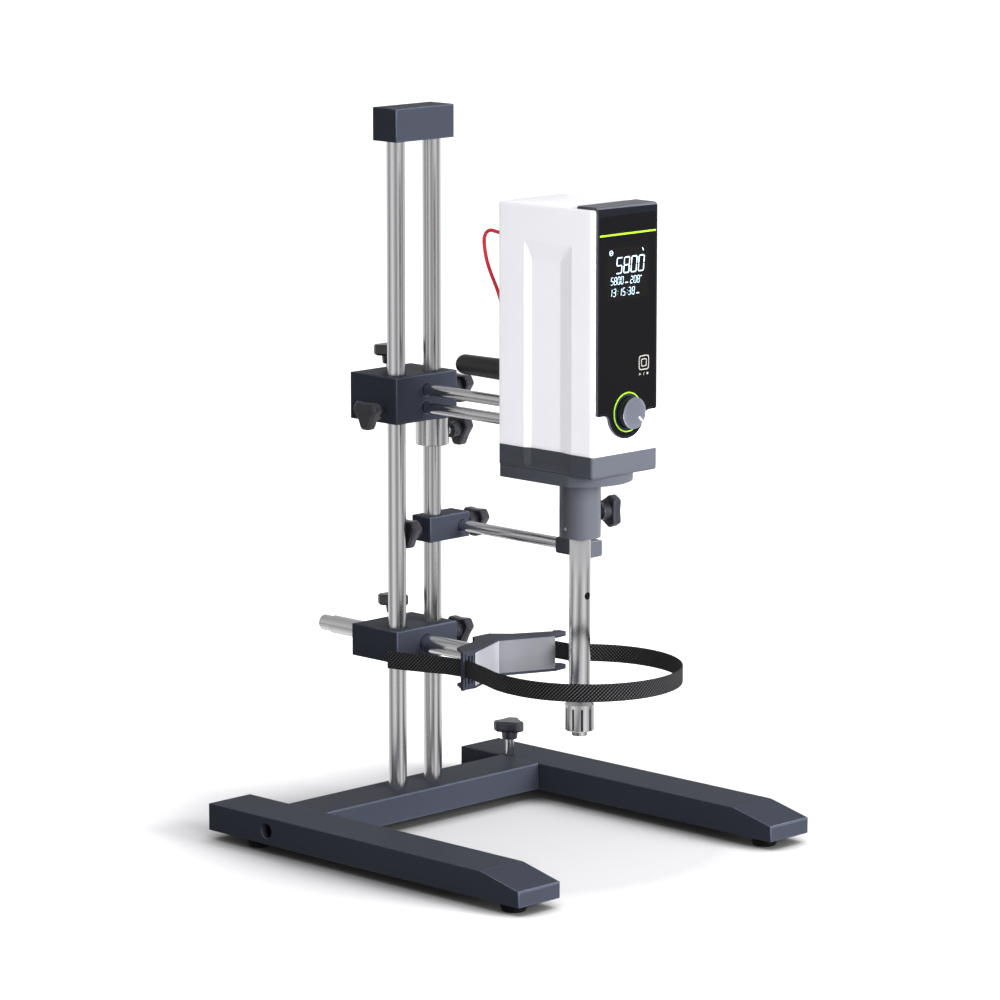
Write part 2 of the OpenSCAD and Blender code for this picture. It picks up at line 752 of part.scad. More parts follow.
module probe_clamp() color(slate) at_uprights() difference() {
    soft_box([rod_x - probe_inner, -probe_d / 2, probe_z],
        [probe_rod_x + probe_end, probe_d / 2, probe_z + probe_h], block_edge);
    translate([rod_x, 0, 0]) sunk_bore(rod_d + 2 * fit, probe_z, probe_z + probe_h);
    translate([probe_rod_x, 0, probe_rod_z]) along_y()
        sunk_bore(probe_rod_d + 2 * fit, -probe_d / 2, probe_d / 2);
    translate([rod_x - probe_inner, 0, probe_rod_z]) against_x() screw_bore(probe_inner);
    translate([probe_rod_x + probe_end, 0, probe_rod_z]) along_x() screw_bore(probe_end);
}

module probe_left_knob() at_uprights() translate([rod_x - probe_inner, 0, probe_rod_z]) against_x()
    clamp_knob(probe_left_reach, probe_left_stand, 180);

module probe_right_knob() at_uprights() translate([probe_rod_x + probe_end, 0, probe_rod_z]) along_x()
    clamp_knob(probe_right_reach, knob_stand, 0);

module probe_rod() color(steel) at_uprights() translate([probe_rod_x, -probe_reach, probe_rod_z]) along_y()
    cylinder(d = probe_rod_d, h = probe_reach + probe_tail);

// The holder is cut square at its front and has cut corners at the rod's end
module probe_holder() color(slate) at_uprights() difference() {
    intersection() {
        wall_yz(probe_rod_x - holder_w / 2, probe_rod_x + holder_w / 2)
            translate([holder_rear_y - holder_l, probe_rod_z - holder_h / 2]) polygon([[0.4, 0],
                [holder_l - holder_cut, 0], [holder_l, holder_cut],
                [holder_l, holder_h - holder_cut], [holder_l - holder_cut, holder_h],
                [0.4, holder_h], [0, holder_h - 0.4], [0, 0.4]]);
        translate([probe_rod_x - holder_w / 2, 0, probe_rod_z - holder_h / 2])
            wall_xz(holder_rear_y - holder_l, holder_rear_y)
                polygon(round_rect(holder_w, holder_h, holder_cut, edge_n));
    }
    translate([probe_rod_x, holder_rear_y - holder_grip, probe_rod_z]) along_y()
        cylinder(d = probe_rod_d + 2 * fit, h = holder_grip + 1);
    translate([probe_rod_x, probe_hole_y, probe_rod_z - holder_h / 2 - 1])
        cylinder(d = probe_hole_d, h = holder_h + 2);
}

// Strap arm

module strap_block() color(slate) at_uprights() difference() {
    soft_box([-strap_block_w / 2, -strap_block_front, strap_z],
        [strap_block_w / 2, strap_block_rear, strap_z + strap_block_h], block_edge);
    upright_bores(strap_z, strap_z + strap_block_h);
    translate([0, 0, strap_rod_z]) along_y()
        sunk_bore(strap_rod_d + 2 * fit, -strap_block_front, strap_block_rear);
    translate([strap_block_w / 2, 0, strap_z + strap_side_z]) along_x()
        screw_bore(strap_block_w / 2 - rod_x);
    translate([0, strap_screw_y, strap_z + strap_block_h])
        screw_bore(strap_z + strap_block_h - strap_rod_z);
}

module strap_side_knob() at_uprights() translate([strap_block_w / 2, 0, strap_z + strap_side_z]) along_x()
    clamp_knob(side_reach(strap_block_w), knob_stand, 0);

module strap_top_knob() at_uprights() translate([0, strap_screw_y, strap_z + strap_block_h])
    clamp_knob(strap_reach, knob_stand, 150);

module strap_rod() color(steel) at_uprights() translate([0, strap_rod_end_y, strap_rod_z]) along_y()
    rotate_extrude() polygon([[0, 0], [strap_rod_d / 2, 0],
        [strap_rod_d / 2, strap_tail - strap_turn_l - strap_rod_end_y],
        [strap_turn_d / 2, strap_tail - strap_turn_l - strap_rod_end_y + 0.8],
        [strap_turn_d / 2, strap_tail - strap_rod_end_y - 0.6],
        [strap_turn_d / 2 - 0.6, strap_tail - strap_rod_end_y],
        [0, strap_tail - strap_rod_end_y]]);

// Strap head

// Front line of the V, back by the distance d, at the half width x
function vee_at(x, d) = -vee_y - vee_slope * abs(x) + d;

// The bracket's flange seen from above
flange_outline = [[0, vee_at(0, 0)], [vee_half, vee_at(vee_half, 0)],
    [vee_half + prong_x, vee_at(vee_half, 1.2)], [vee_half + prong_x, vee_at(vee_half, 8.6)],
    [vee_half + prong_x - 4.6, vee_at(vee_half, 11.9)], [vee_half + 5.5, vee_at(vee_half, 9.8)],
    [vee_half / 2 - 1.7, vee_at(vee_half, 27.5)], [boss_half - 2, boss_back_y],
    [2 - boss_half, boss_back_y], [1.7 - vee_half / 2, vee_at(vee_half, 27.5)],
    [-vee_half - 3.5, vee_at(vee_half, 19)], [-vee_half - prong_x, vee_at(vee_half, 1.2)],
    [-vee_half, vee_at(vee_half, 0)]];

// A band that follows the V, between the distances d0 and d1 behind its front line
function vee_band(half, d0, d1) = [[-half, vee_at(half, d0)], [0, vee_at(0, d0)],
    [half, vee_at(half, d0)], [half, vee_at(half, d1)], [0, vee_at(0, d1)], [-half, vee_at(half, d1)]];

plate_back = plate_t / cos(atan(vee_slope)) + 0.1;
web_back = plate_back + web_t / cos(atan(vee_slope));
bracket_top = bracket_z + bracket_h;
post_x0 = -vee_half - post_w - 0.6;

module strap_bracket() color(slate) at_uprights() {
    difference() {
        union() {
            for (z = [bracket_z, bracket_top - flange_t]) translate([0, 0, z])
                linear_extrude(flange_t) polygon(flange_outline);
            // Prongs: the ends of the flanges are thicker
            for (z = [bracket_z, bracket_top - prong_t]) translate([0, 0, z]) linear_extrude(prong_t)
                polygon([[vee_half + 0.6, vee_at(vee_half, 0.1)], [vee_half + prong_x, vee_at(vee_half, 1.2)],
                    [vee_half + prong_x, vee_at(vee_half, 8.6)],
                    [vee_half + prong_x - 4.6, vee_at(vee_half, 11.9)],
                    [vee_half + 5.5, vee_at(vee_half, 9.8)], [vee_half + 0.6, vee_at(vee_half, 9.8)]]);
            translate([0, 0, bracket_z + 0.1]) linear_extrude(bracket_h - 0.2)
                polygon(vee_band(vee_half - 0.3, plate_back, web_back));
            // Boss for the rod
            box([-boss_half, vee_at(0, web_back) - 2, bracket_z + 0.1],
                [boss_half, boss_back_y - 0.1, bracket_top - 0.1]);
            // Post and guard bar at the free end of the strap
            box([post_x0, vee_at(vee_half, 1), bracket_z + 0.1],
                [-vee_half - 0.5, vee_at(vee_half, 7), bracket_top - 0.1]);
            box([-vee_half - 0.6, vee_at(vee_half - 1, plate_back), bracket_z + 0.1],
                [-vee_half + 1, vee_at(vee_half, 6), bracket_top - 0.1]);
            box([guard_x - guard_w, vee_at(vee_half, -0.5), bracket_z],
                [guard_x, vee_at(vee_half, 2.5), bracket_top]);
        }
        translate([0, strap_rod_end_y, strap_rod_z]) along_y()
            cylinder(d = strap_rod_d + 2 * fit, h = vee_y);
        for (x = [[8, 5.8], [4, 2.4]])
            box([-vee_half - x[0], vee_at(vee_half, 0), bracket_z + prong_t + 0.6],
                [-vee_half - x[1], vee_at(vee_half, 5), bracket_top - prong_t]);
    }
}

module strap_plate() color(silver) at_uprights() translate([0, 0, bracket_z + flange_t + 0.1])
    linear_extrude(bracket_h - 2 * flange_t - 0.2)
        polygon(vee_band(vee_half - 0.1, 0.1, plate_back));

// Strap seen from above: the loop as an arc, its fixed end round the end of the web, and its tail
strap_in = strap_t / 2 + soft_gap;
strap_over = web_back + strap_in / cos(atan(vee_slope));
fixed_end_x = vee_half + strap_in;
web_end = [vee_half - 0.3, vee_at(vee_half - 0.3, web_back)];
tail_x = guard_x + soft_gap + strap_t / 2;
fixed_path = [[0.62 * vee_half, vee_at(0.62 * vee_half, strap_over)],
    [0.8 * vee_half, vee_at(0.8 * vee_half, strap_over)],
    each [for (a = [66 : -22 : 0]) web_end + (strap_in + 0.25) * [cos(a), sin(a)]],
    [fixed_end_x, vee_at(vee_half, 1.5)], [fixed_end_x + 0.5, vee_at(vee_half, -5)],
    [fixed_end_x + 0.6, vee_at(vee_half, -11)]];
loop_path = [for (a = [54 : -9 : -180]) [loop_r * cos(a), -loop_y + loop_r * sin(a)]];
tail_path = [[-loop_r + 0.4, -loop_y + 14], [-loop_r + 3.6, -loop_y + 30], [-loop_r + 9.5, -loop_y + 46],
    [tail_x - 5.6, vee_at(vee_half, -21)], [tail_x - 1.2, vee_at(vee_half, -8)],
    [tail_x, vee_at(vee_half, 1)], [tail_x - 0.7, vee_at(vee_half, 10)],
    [tail_x - 3.3, vee_at(vee_half, 24)], [tail_x - 9, vee_at(vee_half, 39)],
    [tail_x - 15, vee_at(vee_half, 56)], [tail_x - 20, vee_at(vee_half, 75)]];
strap_path = concat(fixed_path, loop_path, tail_path);

// Unit normals of a path, and the path moved sideways by d
function dir2(p, i) = let (n = len(p), a = p[max(i - 1, 0)], b = p[min(i + 1, n - 1)], d = b - a)
    d / norm(d);
function beside(p, d) = [for (i = [0 : len(p) - 1]) let (t = dir2(p, i)) p[i] + d * [-t.y, t.x]];
function reversed(p) = [for (i = [len(p) - 1 : -1 : 0]) p[i]];

module vessel_strap() color(black) at_uprights() translate([0, 0, strap_low_z]) linear_extrude(strap_w)
    polygon(concat(beside(strap_path, strap_t / 2), reversed(beside(strap_path, -strap_t / 2))));

// Head

// Outer form of the head between two heights, with a rounded top where edge > 0
module head_form(z0, z1, inset, edge) intersection() {
    translate([-head_half + inset, -head_front + inset, z0]) linear_extrude(z1 - z0)
        polygon(round_rect(head_w - 2 * inset, head_d - 2 * inset, max(head_r - inset, 0.4), arc_n));
    translate([-head_half + inset, 0, z0 - edge]) wall_xz(-head_front, -head_back)
        polygon(round_rect(head_w - 2 * inset, z1 - z0 + edge, max(edge, 0.1), arc_n));
    translate([0, -head_front + inset, z0 - edge]) wall_yz(-head_half, head_half)
        polygon(round_rect(head_d - 2 * inset, z1 - z0 + edge, max(edge, 0.1), arc_n));
}

// The recess in the side x > 0, pushed inwards by the distance deeper
module side_recess(deeper) {
    y0 = -head_back - recess_back - recess_l;
    y1 = -head_back - recess_back;
    z0 = split_z - recess_low;
    z1 = split_z + recess_top;
    hull() {
        translate([head_half - deeper, 0, 0]) wall_yz(0, 1 + deeper)
            translate([y0 - deeper, z0 - deeper]) polygon(concat(
                arc_pts(recess_l + 2 * deeper - recess_r, recess_r, recess_r, -90, 0, arc_n),
                [[recess_l + 2 * deeper, z1 - z0 + 2 * deeper], [0, z1 - z0 + 2 * deeper]],
                arc_pts(recess_r, recess_r, recess_r, 180, 270, arc_n)));
        translate([head_half - recess_depth - deeper, 0, 0]) wall_yz(0, 0.1)
            translate([y0 + recess_ramp - deeper, z0 + recess_foot - deeper]) polygon(concat(
                arc_pts(recess_l - recess_ramp - recess_bevel + 2 * deeper - recess_r + 2, recess_r - 2,
                    recess_r - 2, -90, 0, arc_n),
                [[recess_l - recess_ramp - recess_bevel + 2 * deeper,
                    z1 - z0 - recess_foot - recess_head + 2 * deeper],
                    [0, z1 - z0 - recess_foot - recess_head + 2 * deeper]],
                arc_pts(recess_r - 2, recess_r - 2, recess_r - 2, 180, 270, arc_n)));
    }
}

module both_sides() for (side = [-1, 1]) mirror([side < 0 ? 1 : 0, 0, 0]) children();

module board_posts() for (x = [-post_x, post_x], z = post_zs)
    translate([x, -head_front + wall - 0.5, z]) along_y()
        cylinder(d = post_d, h = head_front - board_y - wall + 0.5);

module housing() color(white) at_uprights() difference() {
    union() {
        difference() {
            head_form(split_z, head_top, 0, head_r);
            difference() {
                head_form(split_z - 1, head_top - wall, wall, 1);
                both_sides() side_recess(wall);
            }
        }
        board_posts();
    }
    both_sides() side_recess(0);
    // Window of the display and hole of the dial
    box([-display_half - 0.6, -head_front - 1, split_z + display_z - display_h / 2 - 0.6],
        [display_half + 0.6, -head_front + wall + 1, split_z + display_z + display_h / 2 + 0.6]);
    translate([0, -head_front - 1, dial_axis_z]) along_y() cylinder(d = bushing_d + 0.4, h = wall + 2);
    // Holes in the back
    for (z = [arm_low_z, arm_high_z]) translate([0, -head_back - wall - 12, z]) along_y()
        cylinder(d = arm_d + 2 * fit, h = wall + 14);
    translate([0, -head_back - wall - 1, handle_axis_z]) along_y() cylinder(d = 8 + 2 * fit, h = wall + 2);
    for (z = [socket_z, gland_z]) translate([lead_x, -head_back - wall - 1, z]) along_y()
        cylinder(d = socket_d - 2 + 2 * fit, h = wall + 2);
    box([inlet_x - inlet_w / 2 + 1.8, -head_back - wall - 1, inlet_z - inlet_h / 2 + 9.8],
        [inlet_x + inlet_w / 2 - 1.8, -head_back + 1, inlet_z + inlet_h / 2 - 9.8]);
    for (z = [-1, 1]) translate([inlet_x, -head_back - wall - 1, inlet_z + z * inlet_screw_z]) along_y()
        cylinder(d = inlet_screw_d + 2 * fit, h = wall + 2);
    box([inlet_x - rocker_w / 2 - 0.3, -head_back - wall - 1, rocker_z - rocker_h / 2 - 0.3],
        [inlet_x + rocker_w / 2 + 0.3, -head_back + 1, rocker_z + rocker_h / 2 + 0.3]);
}

// Lower body of the head: a tray that carries the motor, with the round-fronted step under it
module drive_base() color(slate) at_uprights() difference() {
    union() {
        difference() {
            union() {
                head_form(drive_low, split_z, 0, 0);
                intersection() {
                    head_form(tier_low, drive_low + 1, 0.6, 0);
                    union() {
                        translate([0, -axis_y, tier_low]) cylinder(r = tier_r, h = tier_h + 1, $fn = 96);
                        box([-head_half, -axis_y - 2.5, tier_low], [head_half, -head_back, drive_low + 1]);
                    }
                }
            }
            difference() {
                head_form(floor_z, split_z + 1, 3, 0);
                both_sides() side_recess(3);
            }
        }
        translate([0, -axis_y, floor_z - 1]) cylinder(d = bearing_d + 10, h = bearing_boss + 1);
        // Arm socket block behind the motor
        box([-12, -head_back - arm_into - 4, floor_z - 1], [12, -head_back - 2, split_z]);
    }
    both_sides() side_recess(0);
    translate([0, -axis_y, lower_bearing_z]) cylinder(d = bearing_d + 2 * fit, h = 20);
    translate([0, -axis_y, tier_low - 1]) cylinder(d = coupling_d + 2, h = tier_h + floor_t);
    translate([0, -axis_y, tier_low - 1]) cylinder(d = spout_d - 5 + 2 * fit, h = tier_h - 2);
}

module panel_body(half, low, top, round_r, y_front, y_back, fillet)
    wall_xz(-y_front, -y_back) polygon(panel_outline(half, low, top, round_r, fillet));

module front_panel() color(slate) at_uprights() {
    panel_top = head_top + panel_top_t;
    nose_r = 3.4;
    difference() {
        intersection() {
            panel_body(panel_half, panel_bottom, panel_top, lobe_r, panel_front + 1,
                head_front - panel_return, lobe_fillet);
            wall_yz(-panel_half, panel_half) polygon(concat([[-head_front, panel_bottom - lobe_r - 2],
                [-head_front, head_top], [-head_front + panel_return - panel_t, head_top],
                [-head_front + panel_return - panel_t, panel_top - 0.6],
                [-head_front + panel_return - panel_t - 0.6, panel_top]],
                arc_pts(-panel_front + nose_r, panel_top - nose_r, nose_r, 90, 180, 5),
                [[-panel_front, panel_bottom - lobe_r - 2]]));
        }
        panel_body(panel_half - panel_rim + fit, glass_low - fit, glass_high + fit,
            lobe_r - panel_rim + fit, panel_front + 2, glass_back, lobe_fillet + panel_rim);
        box([-display_half - 0.6, -panel_front - 1, split_z + display_z - display_h / 2 - 0.6],
            [display_half + 0.6, -head_front + 1, split_z + display_z + display_h / 2 + 0.6]);
        translate([0, -panel_front - 1, dial_axis_z]) along_y() cylinder(d = bushing_d + 0.4, h = 8);
    }
}

module display_glass() color([0.08, 0.08, 0.09]) at_uprights() difference() {
    panel_body(panel_half - panel_rim, glass_low, glass_high, lobe_r - panel_rim, glass_face,
        glass_back, lobe_fillet + panel_rim);
    translate([0, -panel_front - 2, dial_axis_z]) along_y() cylinder(d = bushing_d + 0.4, h = 8);
}

module display_module() color([0.05, 0.06, 0.08]) at_uprights() {
    low = split_z + display_z - display_h / 2;
    box([-display_half, -glass_back + 0.2, low], [display_half, -board_y, low + display_h]);
}

module control_board() color(board_green) at_uprights() {
    box([-board_half, -board_y, board_low], [board_half, -board_y + board_t, board_high]);
    for (x = [-18, -4, 12], z = [split_z + 70, split_z + 92])
        box([x, -board_y + board_t, z], [x + 9, -board_y + board_t + 2.4, z + 12]);
}

module dial_encoder() color([0.35, 0.36, 0.38]) at_uprights() translate([0, 0, dial_axis_z]) difference() {
    union() {
        box([-encoder_w / 2, -board_y - encoder_t, -encoder_w / 2], [encoder_w / 2, -board_y, encoder_w / 2]);
        translate([0, -glass_face - 0.2, 0]) along_y()
            cylinder(d = bushing_d, h = glass_face + 0.2 - board_y - encoder_t + 0.5);
    }
    translate([0, -glass_face - 1, 0]) along_y()
        cylinder(d = dial_shaft_d + 2 * fit, h = glass_face - board_y - 1);
}

module dial_ring() color(lime) at_uprights() translate([0, -glass_face, dial_axis_z]) rotate([90, 0, 0])
    difference() {
        cylinder(d = ring_d, h = 0.7);
        translate([0, 0, -1]) cylinder(d = ring_d - 2 * ring_w, h = 3);
    }

// Speed dial: a barrel with a dished cap, on the encoder's shaft
module speed_dial() at_uprights() translate([0, -glass_face, dial_axis_z]) rotate([90, 0, 0]) {
    color([0.14, 0.14, 0.17]) translate([0, 0, 0.6]) cylinder(d = dial_d, h = dial_reach - 2);
    color(silver) translate([0, 0, dial_reach - 1.6]) rotate_extrude() polygon(concat([[0, 0],
        [cap_dial_d / 2 - 0.2, 0], [cap_dial_d / 2, 0.4], [cap_dial_d / 2, 1.1],
        [cap_dial_d / 2 - 0.5, 1.6], [cap_dial_d / 2 - 1.4, 1.6]],
        [[cap_dial_d / 3, 0.9], [0, 0.6]]));
    color(steel) translate([0, 0, -glass_face + board_y + encoder_t - 3])
        cylinder(d = dial_shaft_d, h = glass_face - board_y - encoder_t + 4);
}

// Motor

module motor_can() color([0.30, 0.31, 0.34]) at_uprights() translate([0, -axis_y, 0]) difference() {
    translate([0, 0, floor_z]) cylinder(d = motor_d, h = motor_h, $fn = 96);
    translate([0, 0, floor_z - 1]) cylinder(d = motor_d - 2 * can_wall, h = motor_h - can_top_t + 1, $fn = 96);
    translate([0, 0, upper_bearing_z]) cylinder(d = bearing_d + 2 * fit, h = bearing_w + 0.1);
    translate([0, 0, floor_z]) cylinder(d = shaft_d + 4, h = motor_h + 1);
}

// Laminated stator: a ring with slots that open to the bore
module motor_stator() color(copper) at_uprights() translate([0, -axis_y, stator_low]) difference() {
    cylinder(d = motor_d - 2 * can_wall - 2 * fit, h = stator_core_h, $fn = 96);
    translate([0, 0, -1]) cylinder(d = magnet_d + 2 * stator_gap, h = stator_core_h + 2);
    for (i = [0:11]) rotate([0, 0, 30 * i]) translate([magnet_d / 2 - 1, -1.6, -1])
        cube([motor_d / 2 - can_wall - magnet_d / 2 - 2.6, 3.2, stator_core_h + 2]);
}

module motor_bearings() color(steel) at_uprights() for (z = [lower_bearing_z, upper_bearing_z])
    translate([0, -axis_y, z]) difference() {
        cylinder(d = bearing_d, h = bearing_w);
        translate([0, 0, -1]) cylinder(d = shaft_d + 2 * fit, h = bearing_w + 2);
        for (s = [-0.8, bearing_w - 0.4]) translate([0, 0, s]) difference() {
            cylinder(d = bearing_d - 5, h = 1.2);
            cylinder(d = shaft_d + 4, h = 1.2);
        }
    }

module motor_rotor() color([0.45, 0.45, 0.50]) at_uprights() translate([0, -axis_y, stator_low + 1]) difference() {
    cylinder(d = magnet_d, h = stator_core_h - 2);
    translate([0, 0, -1]) cylinder(d = shaft_d + 2 * fit, h = stator_core_h);
}

module motor_shaft() color(steel) at_uprights() translate([0, -axis_y, shaft_low])
    cylinder(d = shaft_d, h = motor_top + 2 - shaft_low);

module drive_coupling() color(steel) at_uprights() translate([0, -axis_y, coupling_low]) difference() {
    cylinder(d = coupling_d, h = coupling_l);
    translate([0, 0, shaft_low - coupling_low]) cylinder(d = shaft_d + 2 * fit, h = coupling_l);
    translate([-tang_w / 2 - tang_gap, -tang_w / 2 - tang_gap, -1])
        cube([tang_w + 2 * tang_gap, tang_w + 2 * tang_gap, shaft_low - coupling_low + 1]);
}

// Rear fittings

module handle_grip() color(black) at_uprights() translate([0, -head_back, handle_axis_z]) along_y() {
    tip_r = handle_d / 2;
    rotate_extrude() polygon(concat([[0, 0], [handle_root_d / 2 - 0.8, 0], [handle_root_d / 2, 0.8],
        [handle_root_d / 2, 10], [handle_d / 2 + 0.3, 0.6 * handle_l]],
        arc_pts(0, handle_l - tip_r, tip_r, 0, 84, 6), [[0, handle_l]]));
    translate([0, 0, -wall - 3]) cylinder(d = 8, h = wall + 4);
}

module socket_body(z) translate([lead_x, -head_back, z]) along_y() difference() {
    union() {
        translate([0, 0, -wall - 2]) cylinder(d = socket_d - 2, h = wall + 3);
        rotate_extrude() polygon([[0, 0], [socket_d / 2, 0], [socket_d / 2, 3], [socket_d / 2 - 0.9, 3.8],
            [lead_d / 2 + 1, lead_nose - 0.4], [lead_d / 2 + 0.6, lead_nose], [0, lead_nose]]);
    }
}

module lead_socket() color(black) at_uprights() socket_body(socket_z);

module lead_gland() color(black) at_uprights() socket_body(gland_z);

// A tube of 8 sides swept along a route in the plane x = constant
function ring_at(p, i, x) = let (t = dir2(p, i), n = [-t.y, t.x]) [for (k = [0:7]) let (a = 45 * k + 22.5)
    [x + lead_d / 2 * cos(a), p[i].x + lead_d / 2 * sin(a) * n.x, p[i].y + lead_d / 2 * sin(a) * n.y]];

module sensor_lead() color(red) at_uprights() {
    route = [for (p = lead_route) [-head_back + p[0] + (lead_nose - 8), split_z + p[1]]];
    n = len(route);
    polyhedron(points = [for (i = [0 : n - 1]) each ring_at(route, i, lead_x)],
        faces = concat([[for (k = [0:7]) k]],
            [for (i = [0 : n - 2], k = [0:7])
                [8 * i + k, 8 * i + 8 + k, 8 * i + 8 + (k + 1) % 8, 8 * i + (k + 1) % 8]],
            [[for (k = [7:-1:0]) 8 * (n - 1) + k]]));
}

// Mains inlet with its shrouded socket and three blades
module mains_inlet() color(black) at_uprights() translate([inlet_x, -head_back, inlet_z]) {
    difference() {
        union() {
            wall_xz(0, 2.2) translate([-inlet_w / 2, -inlet_h / 2])
                polygon(round_rect(inlet_w, inlet_h, 3, arc_n));
            box([-inlet_w / 2 + 2, -inlet_depth, -inlet_h / 2 + 10], [inlet_w / 2 - 2, 0.5, inlet_h / 2 - 10]);
        }
        box([-inlet_w / 2 + 4, 1 - inlet_depth + 1, -inlet_h / 2 + 12], [inlet_w / 2 - 4, 3, inlet_h / 2 - 12]);
        for (z = [-1, 1]) translate([0, -1, z * inlet_screw_z]) along_y()
            cylinder(d = inlet_screw_d + 0.4, h = 5);
    }
    for (p = [[-4.5, -6], [-4.5, 6], [4.5, 0]])
        box([p[0] - 1, 1.5 - inlet_depth, p[1] - 2], [p[0] + 1, -2, p[1] + 2]);
}

module power_rocker() color(black) at_uprights() translate([inlet_x, -head_back, rocker_z]) {
    along_x() translate([0, -1, -rocker_w / 2 + 0.4]) cylinder(d = 5, h = rocker_w - 0.8);
    wall_yz(-rocker_w / 2 + 0.4, rocker_w / 2 - 0.4) polygon([[-2, -rocker_h / 2 + 1.6],
        [2.4, -rocker_h / 2 + 0.9], [1.2, 0], [0.2, rocker_h / 2 - 0.9], [-4, rocker_h / 2 - 1.6], [-3.4, 0]]);
}

// Screws of the head: two in the inlet's plate and the collar's locking pin
module head_screws() color(steel) at_uprights() {
    for (z = [-1, 1]) translate([inlet_x, -head_back + 2.2, inlet_z + z * inlet_screw_z]) along_y()
        translate([0, 0, 0.01]) difference() {
            union() {
                cylinder(d = 5.6, h = 1.6);
                translate([0, 0, -6]) cylinder(d = inlet_screw_d, h = 6.5);
            }
            translate([0, 0, 0.9]) cylinder(d = 2.4, h = 2, $fn = 6);
        }
    translate([0, -axis_y, spout_low + 12.5]) against_x() translate([0, 0, spout_d / 2 - 3])
        cylinder(d = 3, h = 3.2);
}

module tool_collar() color(slate) at_uprights() translate([0, -axis_y, 0]) difference() {
    union() {
        translate([0, 0, spout_low]) rotate_extrude($fn = 96) polygon(concat([[0, 0],
            [spout_d / 2 - 0.5, 0], [spout_d / 2, 0.5]],
            [for (p = arc_pts(spout_d / 2 + 2.5, spout_l - 2.5, 2.5, 180, 90, 4)) p],
            [[0, spout_l]]));
        translate([0, 0, tier_low - 1]) cylinder(d = spout_d - 5, h = tier_h - 3 + 1);
    }
    translate([0, 0, spout_low - 1]) cylinder(d = tube_d + 2 * fit, h = spout_bore_top - spout_low + 1);
    translate([0, 0, spout_bore_top]) cylinder(d = coupling_d + 4, h = tier_h + spout_l);
    translate([spout_d / 2, 0, spout_screw_z]) along_x() screw_bore(spout_d / 2);
    translate([-spout_d / 2 + 3, 0, spout_low + 12.5]) against_x() cylinder(d = 3 + 2 * fit, h = 10);
}

module tool_clamp_knob() at_uprights() translate([spout_d / 2, -axis_y, spout_screw_z]) along_x()
    clamp_knob(spout_reach, knob_stand - 1.2, 90);

// Tool

module tool_tube() color(steel) at_uprights() translate([0, -axis_y, 0]) difference() {
    translate([0, 0, tube_low]) cylinder(d = tube_d, h = tube_top - tube_low);
    translate([0, 0, tube_low - 1]) cylinder(d = tube_bore, h = tube_top - tube_low + 2);
    translate([0, 0, spout_low - vent_drop]) rotate([90, 0, 0]) cylinder(d = vent_d, h = tube_d);
}

module tool_bushings() color(ptfe) at_uprights()
    for (z = [tube_low + neck_l + 1, tube_top - bushing_l - 2]) translate([0, -axis_y, z]) difference() {
        cylinder(d = tube_bore - 2 * fit, h = bushing_l);
        translate([0, 0, -1]) cylinder(d = spindle_d + 2 * fit, h = bushing_l + 2);
    }

// Stator head: a slotted cup with a neck in the tube and a mouth ring below
module stator_head() color(steel) at_uprights() translate([0, -axis_y, 0]) difference() {
    rotate_extrude() polygon([[0, mouth_low], [mouth_d / 2 - 0.4, mouth_low], [mouth_d / 2, mouth_low + 0.4],
        [mouth_d / 2, stator_low_z], [stator_d / 2 - 0.6, stator_low_z],
        [stator_d / 2, stator_low_z + 0.6], [stator_d / 2, tube_low - 3],
        [tube_d / 2 + 0.4, tube_low], [tube_bore / 2 - fit, tube_low],
        [tube_bore / 2 - fit, tube_low + neck_l], [0, tube_low + neck_l]]);
    translate([0, 0, stator_low_z + 1]) cylinder(d = stator_bore, h = stator_h - 6);
    translate([0, 0, mouth_low - 1]) cylinder(d = mouth_d - 3.4, h = mouth_h + 3);
    cylinder(d = spindle_d + 1.2, h = tube_low + neck_l + 1);
    for (i = [0 : stator_slots - 1]) rotate([0, 0, 360 / stator_slots * (i + 0.5)])
        translate([stator_d / 4, -slot_w / 2, stator_low_z + 1]) cube([stator_d / 2, slot_w, stator_h - 7]);
}

module tool_shaft() color(steel) at_uprights() translate([0, -axis_y, 0]) {
    translate([0, 0, spindle_low]) cylinder(d = spindle_d, h = tube_top + 2 - spindle_low);
    translate([-tang_w / 2, -tang_w / 2, tube_top]) cube([tang_w, tang_w, spindle_top - tube_top]);
}

// Rotor: a hub with four blades
module rotor_blades() color(silver) at_uprights() translate([0, -axis_y, spindle_low]) difference() {
    union() {
        cylinder(d = spindle_d + 4, h = stator_h - 9);
        intersection() {
            cylinder(r = rotor_r, h = stator_h - 10);
            for (a = [0, 90]) rotate([0, 0, a]) translate([-rotor_r, -1.5, 0])
                cube([2 * rotor_r, 3, stator_h - 10]);
        }
    }
    translate([0, 0, -1]) cylinder(d = spindle_d + 2 * fit, h = stator_h);
}

left_leg();
right_leg();
crossbar();
rubber_feet();
base_screws();
left_upright();
right_upright();
end_block();
levelling_foot();
levelling_knob();
carriage_block();
carriage_left_knob();
carriage_right_knob();
carriage_top_knob();
stop_collar();
stop_collar_knob();
probe_clamp();
probe_left_knob();
probe_right_knob();
probe_rod();
probe_holder();
strap_block();
strap_side_knob();
strap_top_knob();
strap_rod();
strap_bracket();
strap_plate();
vessel_strap();
upper_arm_rod();
lower_arm_rod();
housing();
drive_base();
front_panel();
display_glass();
display_module();
control_board();
dial_encoder();
dial_ring();
speed_dial();
motor_can();
motor_stator();
motor_bearings();
motor_rotor();
motor_shaft();
drive_coupling();
handle_grip();
lead_socket();
lead_gland();
sensor_lead();
mains_inlet();
power_rocker();
head_screws();
tool_collar();
tool_clamp_knob();
tool_tube();
tool_bushings();
stator_head();
tool_shaft();
rotor_blades();
